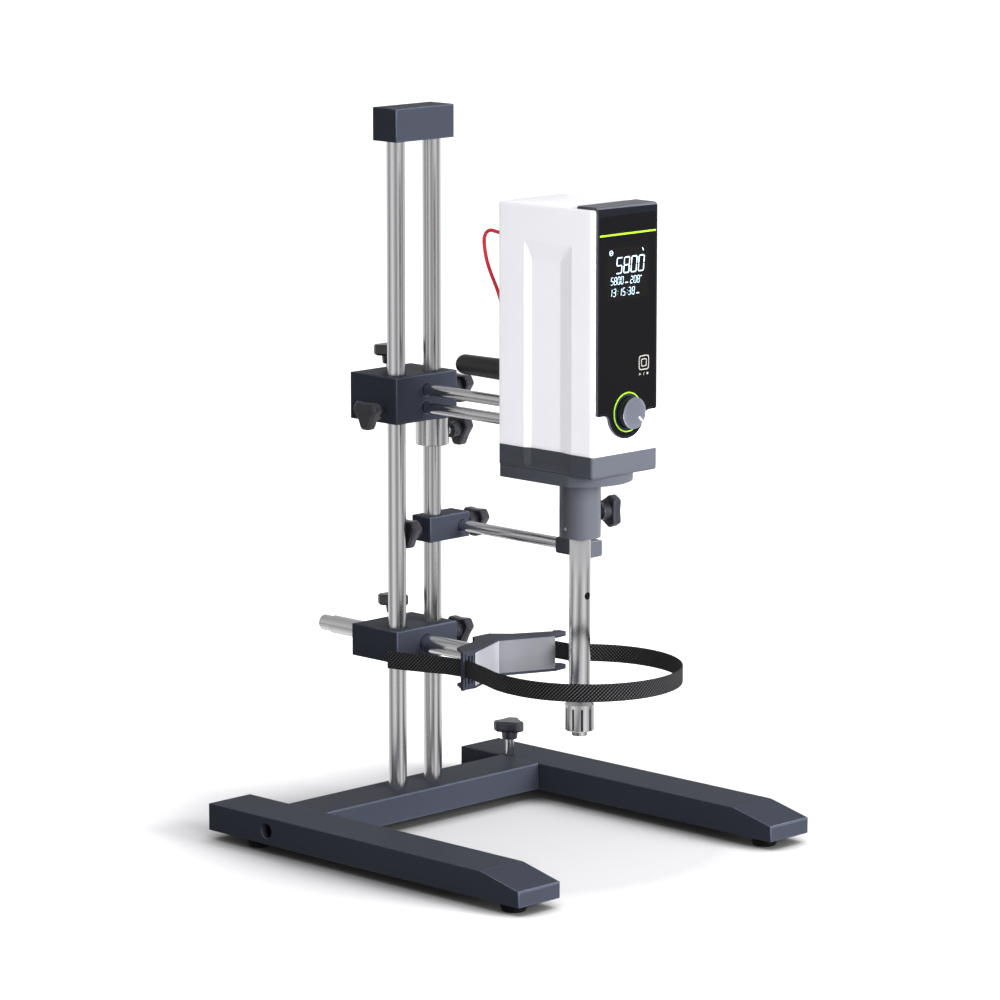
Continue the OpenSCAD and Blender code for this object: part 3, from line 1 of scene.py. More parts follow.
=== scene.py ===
"""Looks of a rotor stator homogenizer on its two-column stand.

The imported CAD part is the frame. Every finished piece sits in that frame, in metres, and rides on the
CAD body that it belongs to. Sizes in the classes are millimetres, in the rig's own frame, whose Y = 0
is the plane of the two uprights; Rig carries them into the part's frame.
"""

import json
import logging
import math
from dataclasses import dataclass, field
from enum import Enum
from typing import Callable, Optional, Sequence

import bmesh
import bpy
import numpy as np
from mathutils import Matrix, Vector


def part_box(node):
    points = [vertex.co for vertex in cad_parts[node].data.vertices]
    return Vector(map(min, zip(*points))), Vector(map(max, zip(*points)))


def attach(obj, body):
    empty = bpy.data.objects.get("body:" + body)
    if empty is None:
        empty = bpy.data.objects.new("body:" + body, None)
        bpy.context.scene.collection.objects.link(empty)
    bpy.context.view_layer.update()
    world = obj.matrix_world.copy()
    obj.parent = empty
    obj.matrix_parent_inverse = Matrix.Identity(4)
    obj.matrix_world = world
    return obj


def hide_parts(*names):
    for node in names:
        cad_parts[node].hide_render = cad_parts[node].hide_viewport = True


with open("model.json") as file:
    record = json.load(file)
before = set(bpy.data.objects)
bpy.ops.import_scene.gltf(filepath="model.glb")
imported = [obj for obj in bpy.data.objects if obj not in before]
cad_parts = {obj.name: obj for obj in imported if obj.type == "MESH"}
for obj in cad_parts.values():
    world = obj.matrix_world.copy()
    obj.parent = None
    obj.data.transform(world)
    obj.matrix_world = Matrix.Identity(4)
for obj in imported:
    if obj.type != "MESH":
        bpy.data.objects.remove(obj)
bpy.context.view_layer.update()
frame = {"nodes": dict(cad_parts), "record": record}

LOG = logging.getLogger("homogenizer")
MM = 0.001
COORD_ATTRIBUTE = "cloth_mm"


class Axis(Enum):
    """The way a turned piece or a knob points."""

    RIGHT = (1.0, 0.0, 0.0)
    LEFT = (-1.0, 0.0, 0.0)
    BACK = (0.0, 1.0, 0.0)
    FRONT = (0.0, -1.0, 0.0)
    UP = (0.0, 0.0, 1.0)

    def basis(self) -> np.ndarray:
        """Rows are the two side directions and the direction itself."""
        w = np.array(self.value)
        u = np.array([0.0, 0.0, 1.0]) if abs(w[2]) < 0.5 else np.array([1.0, 0.0, 0.0])
        return np.array([u, np.cross(w, u), w])


# ---------------------------------------------------------------- nodes


class Net:
    """Adds nodes to one tree and wires them."""

    def __init__(self, tree: bpy.types.NodeTree) -> None:
        """Takes the tree to build in."""
        self.tree = tree

    def add(self, kind: str, inputs: Optional[dict] = None, **options: object) -> bpy.types.Node:
        """Adds a node.

        Args:
            kind: Its type, without the prefix that all shader nodes share.
            inputs: For an input's name or number, the socket that feeds it or its value.
            options: Its other properties.

        Returns:
            The node.
        """
        node = self.tree.nodes.new(kind if kind.startswith("NodeGroup") else f"ShaderNode{kind}")
        for key, value in options.items():
            setattr(node, key, value)
        self.feed(node, inputs or {})
        return node

    def feed(self, node: bpy.types.Node, inputs: dict) -> None:
        """Links or sets the inputs of a node."""
        for key, value in inputs.items():
            if isinstance(value, bpy.types.NodeSocket):
                self.tree.links.new(value, node.inputs[key])
            else:
                node.inputs[key].default_value = value

    def math(self, operation: str, *inputs: object, clamp: bool = False) -> bpy.types.NodeSocket:
        """The result of a sum on sockets and numbers."""
        return self.add("Math", dict(enumerate(inputs)), operation=operation, use_clamp=clamp).outputs[0]

    def vector(self, operation: str, *inputs: object, out: int = 0) -> bpy.types.NodeSocket:
        """The result of a sum on vectors; output 1 is the single value."""
        return self.add("VectorMath", dict(enumerate(inputs)), operation=operation).outputs[out]

    def scaled(self, color: Sequence[float], factor: bpy.types.NodeSocket) -> bpy.types.NodeSocket:
        """A colour times a factor."""
        return self.add("VectorMath", {0: color, "Scale": factor}, operation="SCALE").outputs[0]

    def mapped(self, value: bpy.types.NodeSocket, low: float, high: float, to_low: float = 0.0,
               to_high: float = 1.0) -> bpy.types.NodeSocket:
        """A value carried from one range to another, held at its ends."""
        return self.add("MapRange", {"Value": value, "From Min": low, "From Max": high, "To Min": to_low,
                                     "To Max": to_high}).outputs["Result"]


def shared_group(name: str, inputs: dict[str, str], outputs: Sequence[str],
                 fill: Callable[[Net, object], dict]) -> bpy.types.NodeTree:
    """A node group, built at its first use.

    Args:
        name: Its name.
        inputs: The kind of each input, Vector or Float.
        outputs: The names of its outputs, all of them single values.
        fill: Builds the nodes from the group's inputs and tells what feeds each output.

    Returns:
        The node tree.
    """
    if name in bpy.data.node_groups:
        return bpy.data.node_groups[name]
    tree = bpy.data.node_groups.new(name, "ShaderNodeTree")
    for socket, kind in inputs.items():
        tree.interface.new_socket(socket, in_out="INPUT", socket_type=f"NodeSocket{kind}")
    for socket in outputs:
        tree.interface.new_socket(socket, in_out="OUTPUT", socket_type="NodeSocketFloat")
    net = Net(tree)
    net.add("NodeGroupOutput", fill(net, net.add("NodeGroupInput").outputs))
    return tree


def grain_group() -> bpy.types.NodeTree:
    """Fine noise on the piece's own coordinates, and a slow variation about one."""

    def fill(net: Net, given: object) -> dict:
        """Height is the fine noise, and Shade the slow one."""
        fine = net.add("TexNoise", {"Detail": 3.0, "Vector": given["Vector"], "Scale": given["Scale"]})
        slow = net.add("TexNoise", {"Detail": 2.0, "Vector": given["Vector"], "Scale": 26.0})
        part = net.math("MULTIPLY", net.math("SUBTRACT", slow.outputs["Fac"], 0.5), given["Mottle"])
        return {"Height": fine.outputs["Fac"], "Shade": net.math("ADD", part, 1.0)}

    kinds = {"Vector": "Vector", "Scale": "Float", "Mottle": "Float"}
    return shared_group("surface_grain", kinds, ("Height", "Shade"), fill)


def brushing_group() -> bpy.types.NodeTree:
    """Long scratches along one axis, for ground and drawn steel."""

    def fill(net: Net, given: object) -> dict:
        """Lines is noise on coordinates squeezed along each axis."""
        squeezed = net.vector("MULTIPLY", given["Vector"], given["Squeeze"])
        noise = net.add("TexNoise", {"Scale": 1.0, "Detail": 4.0, "Vector": squeezed})
        return {"Lines": noise.outputs["Fac"]}

    return shared_group("ground_lines", {"Vector": "Vector", "Squeeze": "Vector"}, ("Lines",), fill)


def edge_highlight_group() -> bpy.types.NodeTree:
    """A painted highlight on the edges of paint and plastic, where a face turns into the next one: a paler colour
    that stands in for light caught by the rounded edges.
    """
    radius, flat, turned = 1.0 * MM, 0.998, 0.95
    # the side the light comes from; edges that face it get the painted highlight
    up_and_front = (-0.05, -0.6, 0.8)

    def fill(net: Net, given: object) -> dict:
        """Mask is how far the rounded normal leans from the face's own, times how far it turns up and to the
        front, the side the light comes from: it marks where the painted highlight goes."""
        rounded = net.add("Bevel", {"Radius": radius}, samples=4).outputs["Normal"]
        own = net.add("NewGeometry").outputs["Normal"]
        lean = net.mapped(net.vector("DOT_PRODUCT", rounded, own, out=1), flat, turned)
        facing = net.vector("DOT_PRODUCT", rounded, up_and_front, out=1)
        return {"Mask": net.math("MULTIPLY", lean, facing, clamp=True)}

    return shared_group("painted_edge_highlight", {}, ("Mask",), fill)


# ---------------------------------------------------------------- finishes


@dataclass(frozen=True)
class Finish:
    """A plain finish: one colour, one gloss, and a fine tooth, with a painted highlight on its edges where edge is
    set.
    """

    name: str
    slot: str
    color: tuple[float, float, float]
    roughness: float = 0.5
    metallic: float = 0.0
    specular: float = 0.5
    grain: float = 1400.0
    tooth: float = 0.02
    mottle: float = 0.1
    # edge: how strongly the colour is raised on edges that face up and to the front, a painted highlight
    edge: float = 0.0

    def material(self) -> bpy.types.Material:
        """The material, made at its first use."""
        found = bpy.data.materials.get(self.name)
        return found or self.build(bpy.data.materials.new(self.name))

    def build(self, material: bpy.types.Material) -> bpy.types.Material:
        """Fills the material with its nodes.

        Args:
            material: The new material.

        Returns:
            The same material.
        """
        material.use_nodes = True
        net = Net(material.node_tree)
        shader = net.tree.nodes["Principled BSDF"]
        net.feed(shader, {"Metallic": self.metallic, "Specular IOR Level": self.specular})
        self.wire(net, shader, net.add("TexCoord").outputs["Object"])
        return material

    def wire(self, net: Net, shader: bpy.types.Node, place: bpy.types.NodeSocket) -> None:
        """Feeds colour, roughness and normal from the grain group, and the painted edge highlight where edge is
        set.

        Args:
            net: The material's nodes.
            shader: Its Principled BSDF.
            place: The coordinates on the piece.
        """
        group = net.add("Group", {"Vector": place, "Scale": self.grain, "Mottle": self.mottle},
                        node_tree=grain_group())
        shade = level = group.outputs["Shade"]
        # raise the colour on edges facing up and to the front: a painted highlight
        if self.edge > 0:
            edge_light = net.add("Group", node_tree=edge_highlight_group())
            level = net.math("MULTIPLY", shade, net.math("MULTIPLY_ADD", edge_light.outputs["Mask"], self.edge, 1.0))
        net.feed(shader, {"Base Color": net.scaled(self.color, level),
                          "Roughness": net.math("MULTIPLY", shade, self.roughness)})
        self.bump(net, shader, group.outputs["Height"], self.tooth)

    @staticmethod
    def bump(net: Net, shader: bpy.types.Node, height: bpy.types.NodeSocket, depth_mm: float) -> None:
        """Puts a height from 0 to 1 on the shader's normal, as a relief of that depth."""
        bump = net.add("Bump", {"Distance": depth_mm * MM, "Strength": 1.0, "Height": height})
        net.feed(shader, {"Normal": bump.outputs["Normal"]})


@dataclass(frozen=True)
class GroundSteel(Finish):
    """Ground steel: fine lines along one axis change its gloss and tint."""

    squeeze: tuple[float, float, float] = (900.0, 900.0, 12.0)
    spread: float = 0.12
    anisotropy: float = 0.85
    turn: float = 0.25

    def wire(self, net: Net, shader: bpy.types.Node, place: bpy.types.NodeSocket) -> None:
        """Feeds colour and roughness from the ground lines."""
        lines = net.add("Group", {"Squeeze": self.squeeze, "Vector": place},
                        node_tree=brushing_group()).outputs["Lines"]
        low = self.roughness - self.spread / 2
        net.feed(shader, {
            "Anisotropic": self.anisotropy, "Anisotropic Rotation": self.turn,
            "Roughness": net.mapped(lines, 0.3, 0.7, low, low + self.spread),
            "Base Color": net.scaled(self.color, net.mapped(lines, 0.3, 0.7, 1.0 - self.mottle, 1.0))})


@dataclass(frozen=True)
class Webbing(Finish):
    """Woven webbing: raised nubs in diagonal rows, on the ribbon's own millimetre coordinates. The colour follows
    the nubs' height, dark between them and bright on their tops: painted shade and painted highlight over the
    relief.
    """

    pitch: float = 2.0
    relief: float = 0.35
    # dark and bright scale the colour between the nubs and on their tops: painted shade and painted highlight
    dark: float = 0.12
    bright: float = 9.0
    slant: float = 0.62
    weaker: float = 0.6

    def wire(self, net: Net, shader: bpy.types.Node, place: bpy.types.NodeSocket) -> None:
        """The height is the product of two crossed diagonal waves, one of them weaker, on the ribbon's
        own attribute."""
        own = net.add("Attribute", attribute_name=COORD_ATTRIBUTE).outputs["Vector"]
        split = net.add("SeparateXYZ", {0: own}).outputs

        def wave(across: float, floor: float) -> bpy.types.NodeSocket:
            """A slanted wave, raised to lie between floor and 1."""
            turn = 2.0 * math.pi / self.pitch
            total = net.math("ADD", net.math("MULTIPLY", split["X"], self.slant * turn),
                             net.math("MULTIPLY", split["Y"], across * turn))
            return net.math("MULTIPLY_ADD", net.math("SINE", total), (1.0 - floor) / 2.0, (1.0 + floor) / 2.0)

        nub = net.math("MULTIPLY", wave(self.slant, 0.0), wave(-self.slant, self.weaker))
        # darker between the nubs, lighter on their tops: painted shade and painted highlight
        level = net.mapped(nub, 0.5, 0.9, self.dark, self.bright)
        net.feed(shader, {"Base Color": net.scaled(self.color, level), "Roughness": self.roughness})
        self.bump(net, shader, nub, self.relief)


@dataclass(frozen=True)
class Lit(Finish):
    """A plain colour that also gives light, as the lit strokes of a display do."""

    glow: float = 0.9

    def wire(self, net: Net, shader: bpy.types.Node, place: bpy.types.NodeSocket) -> None:
        """Sets the plain values on the shader."""
        color = (*self.color, 1.0)
        net.feed(shader, {"Base Color": color, "Roughness": self.roughness, "Emission Color": color,
                          "Emission Strength": self.glow})


# edge on PAINT, TRIM and KNOB sets a painted highlight on their edges
PAINT = Finish("charcoal_powder_coat", "slate_paint", (0.0215, 0.0240, 0.0330), 0.40, specular=0.03, grain=1500.0,
               tooth=0.010, mottle=0.04, edge=5.0)
BRACKET = Finish("bracket_coat", "slate_paint", (0.0215, 0.0240, 0.0330), 0.40, specular=0.05, tooth=0.006,
                 mottle=0.04)
TRIM = Finish("charcoal_moulded_trim", "slate_paint", (0.047, 0.050, 0.061), 0.30, specular=0.10, grain=1500.0,
              tooth=0.003, mottle=0.03, edge=2.2)
STEEL_UP = GroundSteel("ground_bar_upright", "polished_steel", (0.72, 0.715, 0.73), 0.17, 1.0, mottle=0.02,
                       spread=0.02)
STEEL_DEEP = GroundSteel("ground_bar_level", "polished_steel", (0.72, 0.715, 0.73), 0.17, 1.0, mottle=0.02,
                         squeeze=(900.0, 12.0, 900.0), spread=0.02)
STEEL_INNER = Finish("machined_steel", "polished_steel", (0.55, 0.55, 0.57), 0.32, 1.0, mottle=0.1)
RUBBER = Finish("moulded_rubber", "foot_rubber", (0.0028, 0.0028, 0.003), 0.7, specular=0.08, tooth=0.02)
# the base screws are blackened, and darkened further so that the deep holes they sit in read black: partly their
# own black, partly painted shade
SCREW_BLACK_AND_SHADE = Finish("blackened_screws_and_hole_shade", "black_screw", (0.003, 0.003, 0.0035), 0.5, specular=0.1)
KNOB = Finish("moulded_knob", "knob_plastic", (0.0125, 0.013, 0.017), 0.24, specular=0.75, tooth=0.003,
              edge=5.0)
GRIP = Finish("moulded_grip", "grip_plastic", (0.012, 0.012, 0.014), 0.34, specular=0.45, tooth=0.006)
SHELL = Finish("white_moulded_shell", "white_shell", (0.83, 0.825, 0.86), 0.36, specular=0.4, grain=1800.0,
               tooth=0.002, mottle=0.008)
GLASS = Finish("smoked_face", "smoked_panel", (0.0034, 0.0034, 0.0037), 0.26, specular=0.01, tooth=0.0, mottle=0.0)
SCREEN = Finish("display_window", "smoked_panel", (0.0044, 0.0041, 0.0042), 0.2, specular=0.01, tooth=0.0,
                mottle=0.0)
LIME = Finish("lime_lacquer", "lime_trim", (0.17, 0.34, 0.010), 0.4, specular=0.3, tooth=0.0, mottle=0.02)
SILVER = Finish("blasted_silver", "silver_plate", (0.100, 0.102, 0.112), 0.45, specular=0.15, tooth=0.001,
                mottle=0.03)
# a lighter copy of the silver above, for the strap plate's left face: painted light, a lit copy of one material
SILVER_PAINTED_LIGHT = Finish("silver_painted_lit_face", "silver_plate", (0.19, 0.193, 0.212), 0.45, specular=0.15, tooth=0.001,
                     mottle=0.03)
DIAL_DARK = Finish("dial_barrel", "grip_plastic", (0.010, 0.012, 0.018), 0.3, specular=0.35, tooth=0.002)
DIAL_CAP = Finish("dial_cap", "silver_plate", (0.40, 0.42, 0.52), 0.34, 0.95, tooth=0.002, mottle=0.02)
POINTER = Finish("pointer_white", "white_shell", (0.8, 0.8, 0.82), 0.4, tooth=0.0, mottle=0.0)
STRAP_CLOTH = Webbing("twill_webbing", "webbing", (0.0062, 0.0062, 0.0066), 0.78, specular=0.3)
LEAD = Finish("red_sheath", "red_lead", (0.85, 0.010, 0.030), 0.26, specular=0.6, tooth=0.003)
BOARD = Finish("circuit_board", "board", (0.03, 0.20, 0.08), 0.4)
MOTOR = Finish("motor_enamel", "motor_paint", (0.12, 0.12, 0.13), 0.45)
COPPER = Finish("wound_copper", "winding_copper", (0.45, 0.25, 0.14), 0.35, 1.0)
BUSH = Finish("pale_bush", "bush_white", (0.8, 0.8, 0.77), 0.45)
LIT = Lit("lit_strokes", "white_shell", (0.42, 0.58, 0.70), 0.5, glow=0.35)
# a much darker copy of the trim for the front faces of the panel's frame: painted shade on the side that faces the
# lamps
PANEL_FRONT_SHADE = Finish("panel_rim", "smoked_panel", (0.0040, 0.0043, 0.0062), 0.3, specular=0.1, tooth=0.0, mottle=0.0)
TURNED = Finish("charcoal_turned_trim", "slate_paint", (0.050, 0.053, 0.064), 0.26, specular=0.25, grain=1500.0,
                tooth=0.002, mottle=0.03)
MARK = Finish("printed_marks", "white_shell", (0.20, 0.19, 0.18), 0.5, tooth=0.0, mottle=0.0)
STUD = Finish("plain_stud", "polished_steel", (0.62, 0.62, 0.64), 0.18, 1.0, tooth=0.0, mottle=0.0)
# a dark disc standing for the shadowed inside of the tube's vent hole: painted shade
VENT_HOLE_SHADE = Finish("vent_hole_painted_shade", "grip_plastic", (0.003, 0.003, 0.003), 0.9, specular=0.0, tooth=0.0)


# ---------------------------------------------------------------- shapes


def fillet(corners: Sequence[tuple[float, float]], radii: Sequence[float], steps: int = 5) -> np.ndarray:
    """A line with its corners rounded: each corner becomes the quadratic curve whose ends lie the radius
    away from it on both sides and whose handle is the corner itself.

    Args:
        corners: The line's corners.
        radii: The rounding at each corner, 0 for a sharp one.
        steps: The number of parts of each round.

    Returns:
        The points, one row each.
    """
    pts = np.array(corners, float)
    out = [pts[:1]]
    t = np.linspace(0.0, 1.0, steps + 1)[:, None]
    for before, here, after, radius in zip(pts[:-2], pts[1:-1], pts[2:], radii[1:-1]):
        reach_in, reach_out = np.linalg.norm(before - here), np.linalg.norm(after - here)
        cut = min(radius, 0.49 * reach_in, 0.49 * reach_out)
        if cut <= 1e-6:
            out.append(here[None])
            continue
        a = here + (before - here) / reach_in * cut
        b = here + (after - here) / reach_out * cut
        out.append((1 - t) ** 2 * a + 2 * t * (1 - t) * here + t * t * b)
    out.append(pts[-1:])
    return np.concatenate(out)


def lathe(profile: np.ndarray, origin: Sequence[float], axis: Axis, sides: int = 96) -> np.ndarray:
    """A profile of (radius, height) turned about an axis: a point is the origin plus the radius times the
    unit circle in the two side directions plus the height along the axis.

    Args:
        profile: Rows of radius and height.
        origin: The point at height 0.
        axis: The direction of the height.
        sides: The number of columns round the axis.

    Returns:
        A grid of points, rows by columns by 3.
    """
    angle = np.arange(sides) * 2.0 * np.pi / sides
    u, v, w = axis.basis()
    ring = np.cos(angle)[:, None] * u + np.sin(angle)[:, None] * v
    return (np.array(origin, float) + profile[:, 0, None, None] * ring[None]
            + profile[:, 1, None, None] * w)


def spline(points: np.ndarray, per: int = 8) -> np.ndarray:
    """A smooth curve through the points: between two points it is the cubic whose slopes at its ends are
    half the difference of their neighbours.

    Args:
        points: The points, one row each.
        per: The number of parts of each span.

    Returns:
        The points of the curve.
    """
    padded = np.concatenate([2 * points[:1] - points[1:2], points, 2 * points[-1:] - points[-2:-1]])
    t = np.linspace(0.0, 1.0, per, endpoint=False)[:, None, None]
    a, b, c, d = padded[:-3], padded[1:-2], padded[2:-1], padded[3:]
    curve = 0.5 * (2 * b + (c - a) * t + (2 * a - 5 * b + 4 * c - d) * t**2 + (3 * b - a - 3 * c + d) * t**3)
    flat = curve.transpose(1, 0, 2).reshape(-1, points.shape[1])
    return np.concatenate([flat, points[-1:]])


def tangents(path: np.ndarray) -> np.ndarray:
    """Unit directions of a path, from each point's two neighbours."""
    step = np.gradient(path, axis=0)
    return step / np.linalg.norm(step, axis=1, keepdims=True)


def tube(path: np.ndarray, radius: float, sides: int = 16) -> np.ndarray:
    """A round tube along a path in a plane x = constant: each ring lies in the plane of X and the path's
    normal, which is the direction turned a quarter round X.

    Args:
        path: The points of the centre line.
        radius: The tube's radius.
        sides: The number of columns.

    Returns:
        A grid of points.
    """
    along = tangents(path)
    side = np.array([1.0, 0.0, 0.0])
    normal = np.cross(along, side)
    angle = np.arange(sides) * 2.0 * np.pi / sides
    return (path[:, None] + radius * np.cos(angle)[None, :, None] * side
            + radius * np.sin(angle)[None, :, None] * normal[:, None])


def smooth_clip(value: np.ndarray, soft: float) -> np.ndarray:
    """The value held between 0 and 1, with both corners rounded over the width soft."""
    return 0.5 * (1.0 + np.sqrt(value**2 + soft**2) - np.sqrt((value - 1.0) ** 2 + soft**2))


@dataclass
class Rig:
    """The rig's own frame: its Y = 0 is the plane of the uprights."""

    shift: float = 0.0

    @classmethod
    def from_frame(cls) -> "Rig":
        """Reads the uprights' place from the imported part."""
        low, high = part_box("left_upright")
        return cls(shift=(low.y + high.y) / 2.0 / MM)

    def carry(self, points: np.ndarray) -> np.ndarray:
        """Rig millimetres to metres in the part's frame."""
        return (np.asarray(points, float) + np.array([0.0, self.shift, 0.0])) * MM

    def box(self, node: str) -> tuple[np.ndarray, np.ndarray]:
        """Lowest and highest corner of a CAD node, in rig millimetres."""
        low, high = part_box(node)
        back = np.array([0.0, self.shift, 0.0])
        return np.array(low) / MM - back, np.array(high) / MM - back

    def points(self, node: str) -> np.ndarray:
        """The vertices of a CAD node, in rig millimetres."""
        data = frame["nodes"][node].data
        flat = np.zeros(len(data.vertices) * 3, np.float32)
        data.vertices.foreach_get("co", flat)
        return flat.reshape(-1, 3).astype(float) / MM - np.array([0.0, self.shift, 0.0])


@dataclass
class Shell:
    """Collects grids of points into one mesh, in rig millimetres."""

    rig: Rig
    points: list = field(default_factory=list)
    faces: list = field(default_factory=list)
    slots: list = field(default_factory=list)
    cloth: list = field(default_factory=list)
    count: int = 0

    def _add(self, points: np.ndarray, faces: list, slot: int, cloth: Optional[np.ndarray]) -> None:
        """Keeps the points and faces of one part."""
        self.points.append(points)
        self.cloth.append(np.zeros_like(points) if cloth is None else cloth)
        self.faces.extend(faces)
        self.slots.extend([slot] * len(faces))
        self.count += len(points)

    def grid(self, points: np.ndarray, wrap: bool = True, caps: tuple[bool, bool] = (True, True),
             slot: int = 0, cloth: Optional[np.ndarray] = None) -> "Shell":
        """Adds a grid as four-sided faces, closed round its columns, with a fan on its first and last row.

        Args:
            points: Rows by columns by 3.
            wrap: True where the last column meets the first.
            caps: Which end rows are closed by a fan to their middle.
            slot: The finish's number in the piece.
            cloth: The cloth coordinates of the points, where the finish reads them.

        Returns:
            This shell.
        """
        rows, cols = points.shape[:2]
        index = np.arange(rows * cols).reshape(rows, cols) + self.count
        across = np.concatenate([index, index[:, :1]], axis=1) if wrap else index
        quads = np.stack([across[:-1, :-1], across[:-1, 1:], across[1:, 1:], across[1:, :-1]], axis=-1)
        flat, faces = points.reshape(-1, 3), quads.reshape(-1, 4).tolist()
        extra = None if cloth is None else cloth.reshape(-1, 3)
        for cap, row, flip in ((caps[0], 0, True), (caps[1], rows - 1, False)):
            if not cap:
                continue
            pole = self.count + len(flat)
            flat = np.concatenate([flat, points[row].mean(0, keepdims=True)])
            if extra is not None:
                extra = np.concatenate([extra, cloth[row].mean(0, keepdims=True)])
            ring = across[row]
            fan = np.stack([ring[1:], ring[:-1]] if flip else [ring[:-1], ring[1:]], axis=-1)
            faces += np.column_stack([fan, np.full(len(fan), pole)]).tolist()
        self._add(flat, faces, slot, extra)
        return self

    def plate(self, outline: np.ndarray, y_face: float, thickness: float, slot: int = 0) -> "Shell":
        """Adds a thin plate facing the front, from an outline in X and Z.

        Args:
            outline: The corners in order, as X and Z.
            y_face: The Y of its front face.
            thickness: Its thickness, towards the back.
            slot: The finish's number in the piece.

        Returns:
            This shell.
        """
        n = len(outline)
        layers = [np.column_stack([outline[:, 0], np.full(n, y), outline[:, 1]])
                  for y in (y_face, y_face + thickness)]
        front = list(range(self.count, self.count + n))
        back = [i + n for i in front]
        sides = [[front[i], front[(i + 1) % n], back[(i + 1) % n], back[i]] for i in range(n)]
        self._add(np.concatenate(layers), [front[::-1], back, *sides], slot, None)
        return self

    def build(self, name: str, body: str, finishes: Sequence[Finish], nodes: Sequence[str] = (),
              sharp: float = 35.0) -> bpy.types.Object:
        """Makes the object, turns its faces outwards and puts it on its body.

        Args:
            name: The object's name.
            body: The CAD body that it rides on.
            finishes: Its finishes, the main one first.
            nodes: The CAD nodes that it stands for.
            sharp: Edges over this angle stay hard, in degrees.

        Returns:
            The object.
        """
        mesh = bpy.data.meshes.new(name)
        mesh.from_pydata(self.rig.carry(np.concatenate(self.points)).tolist(), [], self.faces)
        for finish in finishes:
            mesh.materials.append(finish.material())
        mesh.polygons.foreach_set("material_index", np.array(self.slots, np.int32))
        cloth = mesh.attributes.new(COORD_ATTRIBUTE, "FLOAT_VECTOR", "POINT")
        cloth.data.foreach_set("vector", np.concatenate(self.cloth).astype(np.float32).ravel())
        work = bmesh.new()
        work.from_mesh(mesh)
        bmesh.ops.recalc_face_normals(work, faces=work.faces)
        work.to_mesh(mesh)
        work.free()
        piece = bpy.data.objects.new(name, mesh)
        bpy.context.scene.collection.objects.link(piece)
        return settle(piece, body, nodes, sharp)


def flat_faces(mesh: bpy.types.Mesh, width: float = 0.002) -> np.ndarray:
    """Finds the faces that belong to a broad flat: faces in one plane are taken together, and the flat is
    broad where its area over its longest reach is more than the width.

    Args:
        mesh: The mesh.
        width: The least width of a broad flat, in metres.

    Returns:
        True for each such face.
    """
    count = len(mesh.polygons)
    normal, middle, area = (np.zeros(count * n, np.float32) for n in (3, 3, 1))
    mesh.polygons.foreach_get("normal", normal)
    mesh.polygons.foreach_get("center", middle)
    mesh.polygons.foreach_get("area", area)
    normal, middle = normal.reshape(-1, 3).astype(float), middle.reshape(-1, 3).astype(float)
    offset = (normal * middle).sum(1)
    key = np.column_stack([np.round(normal * 200.0), np.round(offset / 0.0001)]).astype(np.int64)
    group = np.unique(key, axis=0, return_inverse=True)[1].ravel()
    total = np.bincount(group, area)
    low, high = np.full((len(total), 3), 9.0), np.full((len(total), 3), -9.0)
    np.minimum.at(low, group, middle)
    np.maximum.at(high, group, middle)
    reach = np.linalg.norm(high - low, axis=1) * 1.5 + 0.001
    return (total / reach > width)[group]


def settle(piece: bpy.types.Object, body: str, nodes: Sequence[str],
           sharp: float) -> bpy.types.Object:
    """Shades a piece, and ties it to its body and the nodes that it stands for.

    Args:
        piece: The object.
        body: The CAD body that it rides on.
        nodes: The CAD nodes that it stands for.
        sharp: Edges over this angle stay hard, in degrees.

    Returns:
        The object.
    """
    piece.data.shade_smooth()
    piece.data.set_sharp_from_angle(angle=math.radians(sharp))
    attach(piece, body)
    if nodes:
        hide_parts(*nodes)
    LOG.info("%s rides on %s, %d faces", piece.name, body, len(piece.data.polygons))
    return piece


def body_of(node: str) -> str:
    """The CAD body that holds a node."""
    return next(b for b, nodes in frame["record"]["behaviour"]["bodies"].items() if node in nodes)


def dressed(node: str, finish: Finish, bevel: float = 0.0, sharp: float = 40.0,
            second: Optional[Finish] = None,
            where: Optional[Callable[[np.ndarray], np.ndarray]] = None) -> bpy.types.Object:
    """A merged copy of a CAD node, with softened edges, that stands for it.

    Args:
        node: The CAD node.
        finish: Its finish.
        bevel: The width of the softening, in millimetres.
        sharp: Edges over this angle are softened and stay hard in shading, in degrees.
        second: A second finish.
        where: Tells from the faces' middles, in metres, which faces have the second finish.

    Returns:
        The copy.
    """
    mesh = frame["nodes"][node].data.copy()
    mesh.name = f"{node}_dressed"
    work = bmesh.new()
    work.from_mesh(mesh)
    bmesh.ops.remove_doubles(work, verts=work.verts, dist=2e-6)
    bmesh.ops.dissolve_degenerate(work, edges=work.edges, dist=1e-6)
    work.to_mesh(mesh)
    work.free()
    mesh.materials.clear()
    mesh.materials.append(finish.material())
    index = np.zeros(len(mesh.polygons), np.int32)
    if second is not None and where is not None:
        mesh.materials.append(second.material())
        middles = np.zeros(len(mesh.polygons) * 3, np.float32)
        mesh.polygons.foreach_get("center", middles)
        index = where(middles.reshape(-1, 3).astype(float)).astype(np.int32)
    mesh.polygons.foreach_set("material_index", index)
    piece = bpy.data.objects.new(f"{node}_dressed", mesh)
    bpy.context.scene.collection.objects.link(piece)
    settle(piece, body_of(node), [node], sharp)
    mesh.polygons.foreach_set("use_smooth", ~flat_faces(mesh))
    if bevel > 0:
        soft = piece.modifiers.new("soft_edges", "BEVEL")
        soft.width = bevel * MM
        soft.segments = 2
        soft.limit_method = "ANGLE"
        soft.angle_limit = math.radians(sharp)
        soft.use_clamp_overlap = True
    return piece


def painted(finish: Finish, *nodes: str) -> None:
    """Gives a finish to CAD nodes that show as they are."""
    for node in nodes:
        data = frame["nodes"][node].data
        data.materials.clear()
        data.materials.append(finish.material())


# ---------------------------------------------------------------- repeated parts


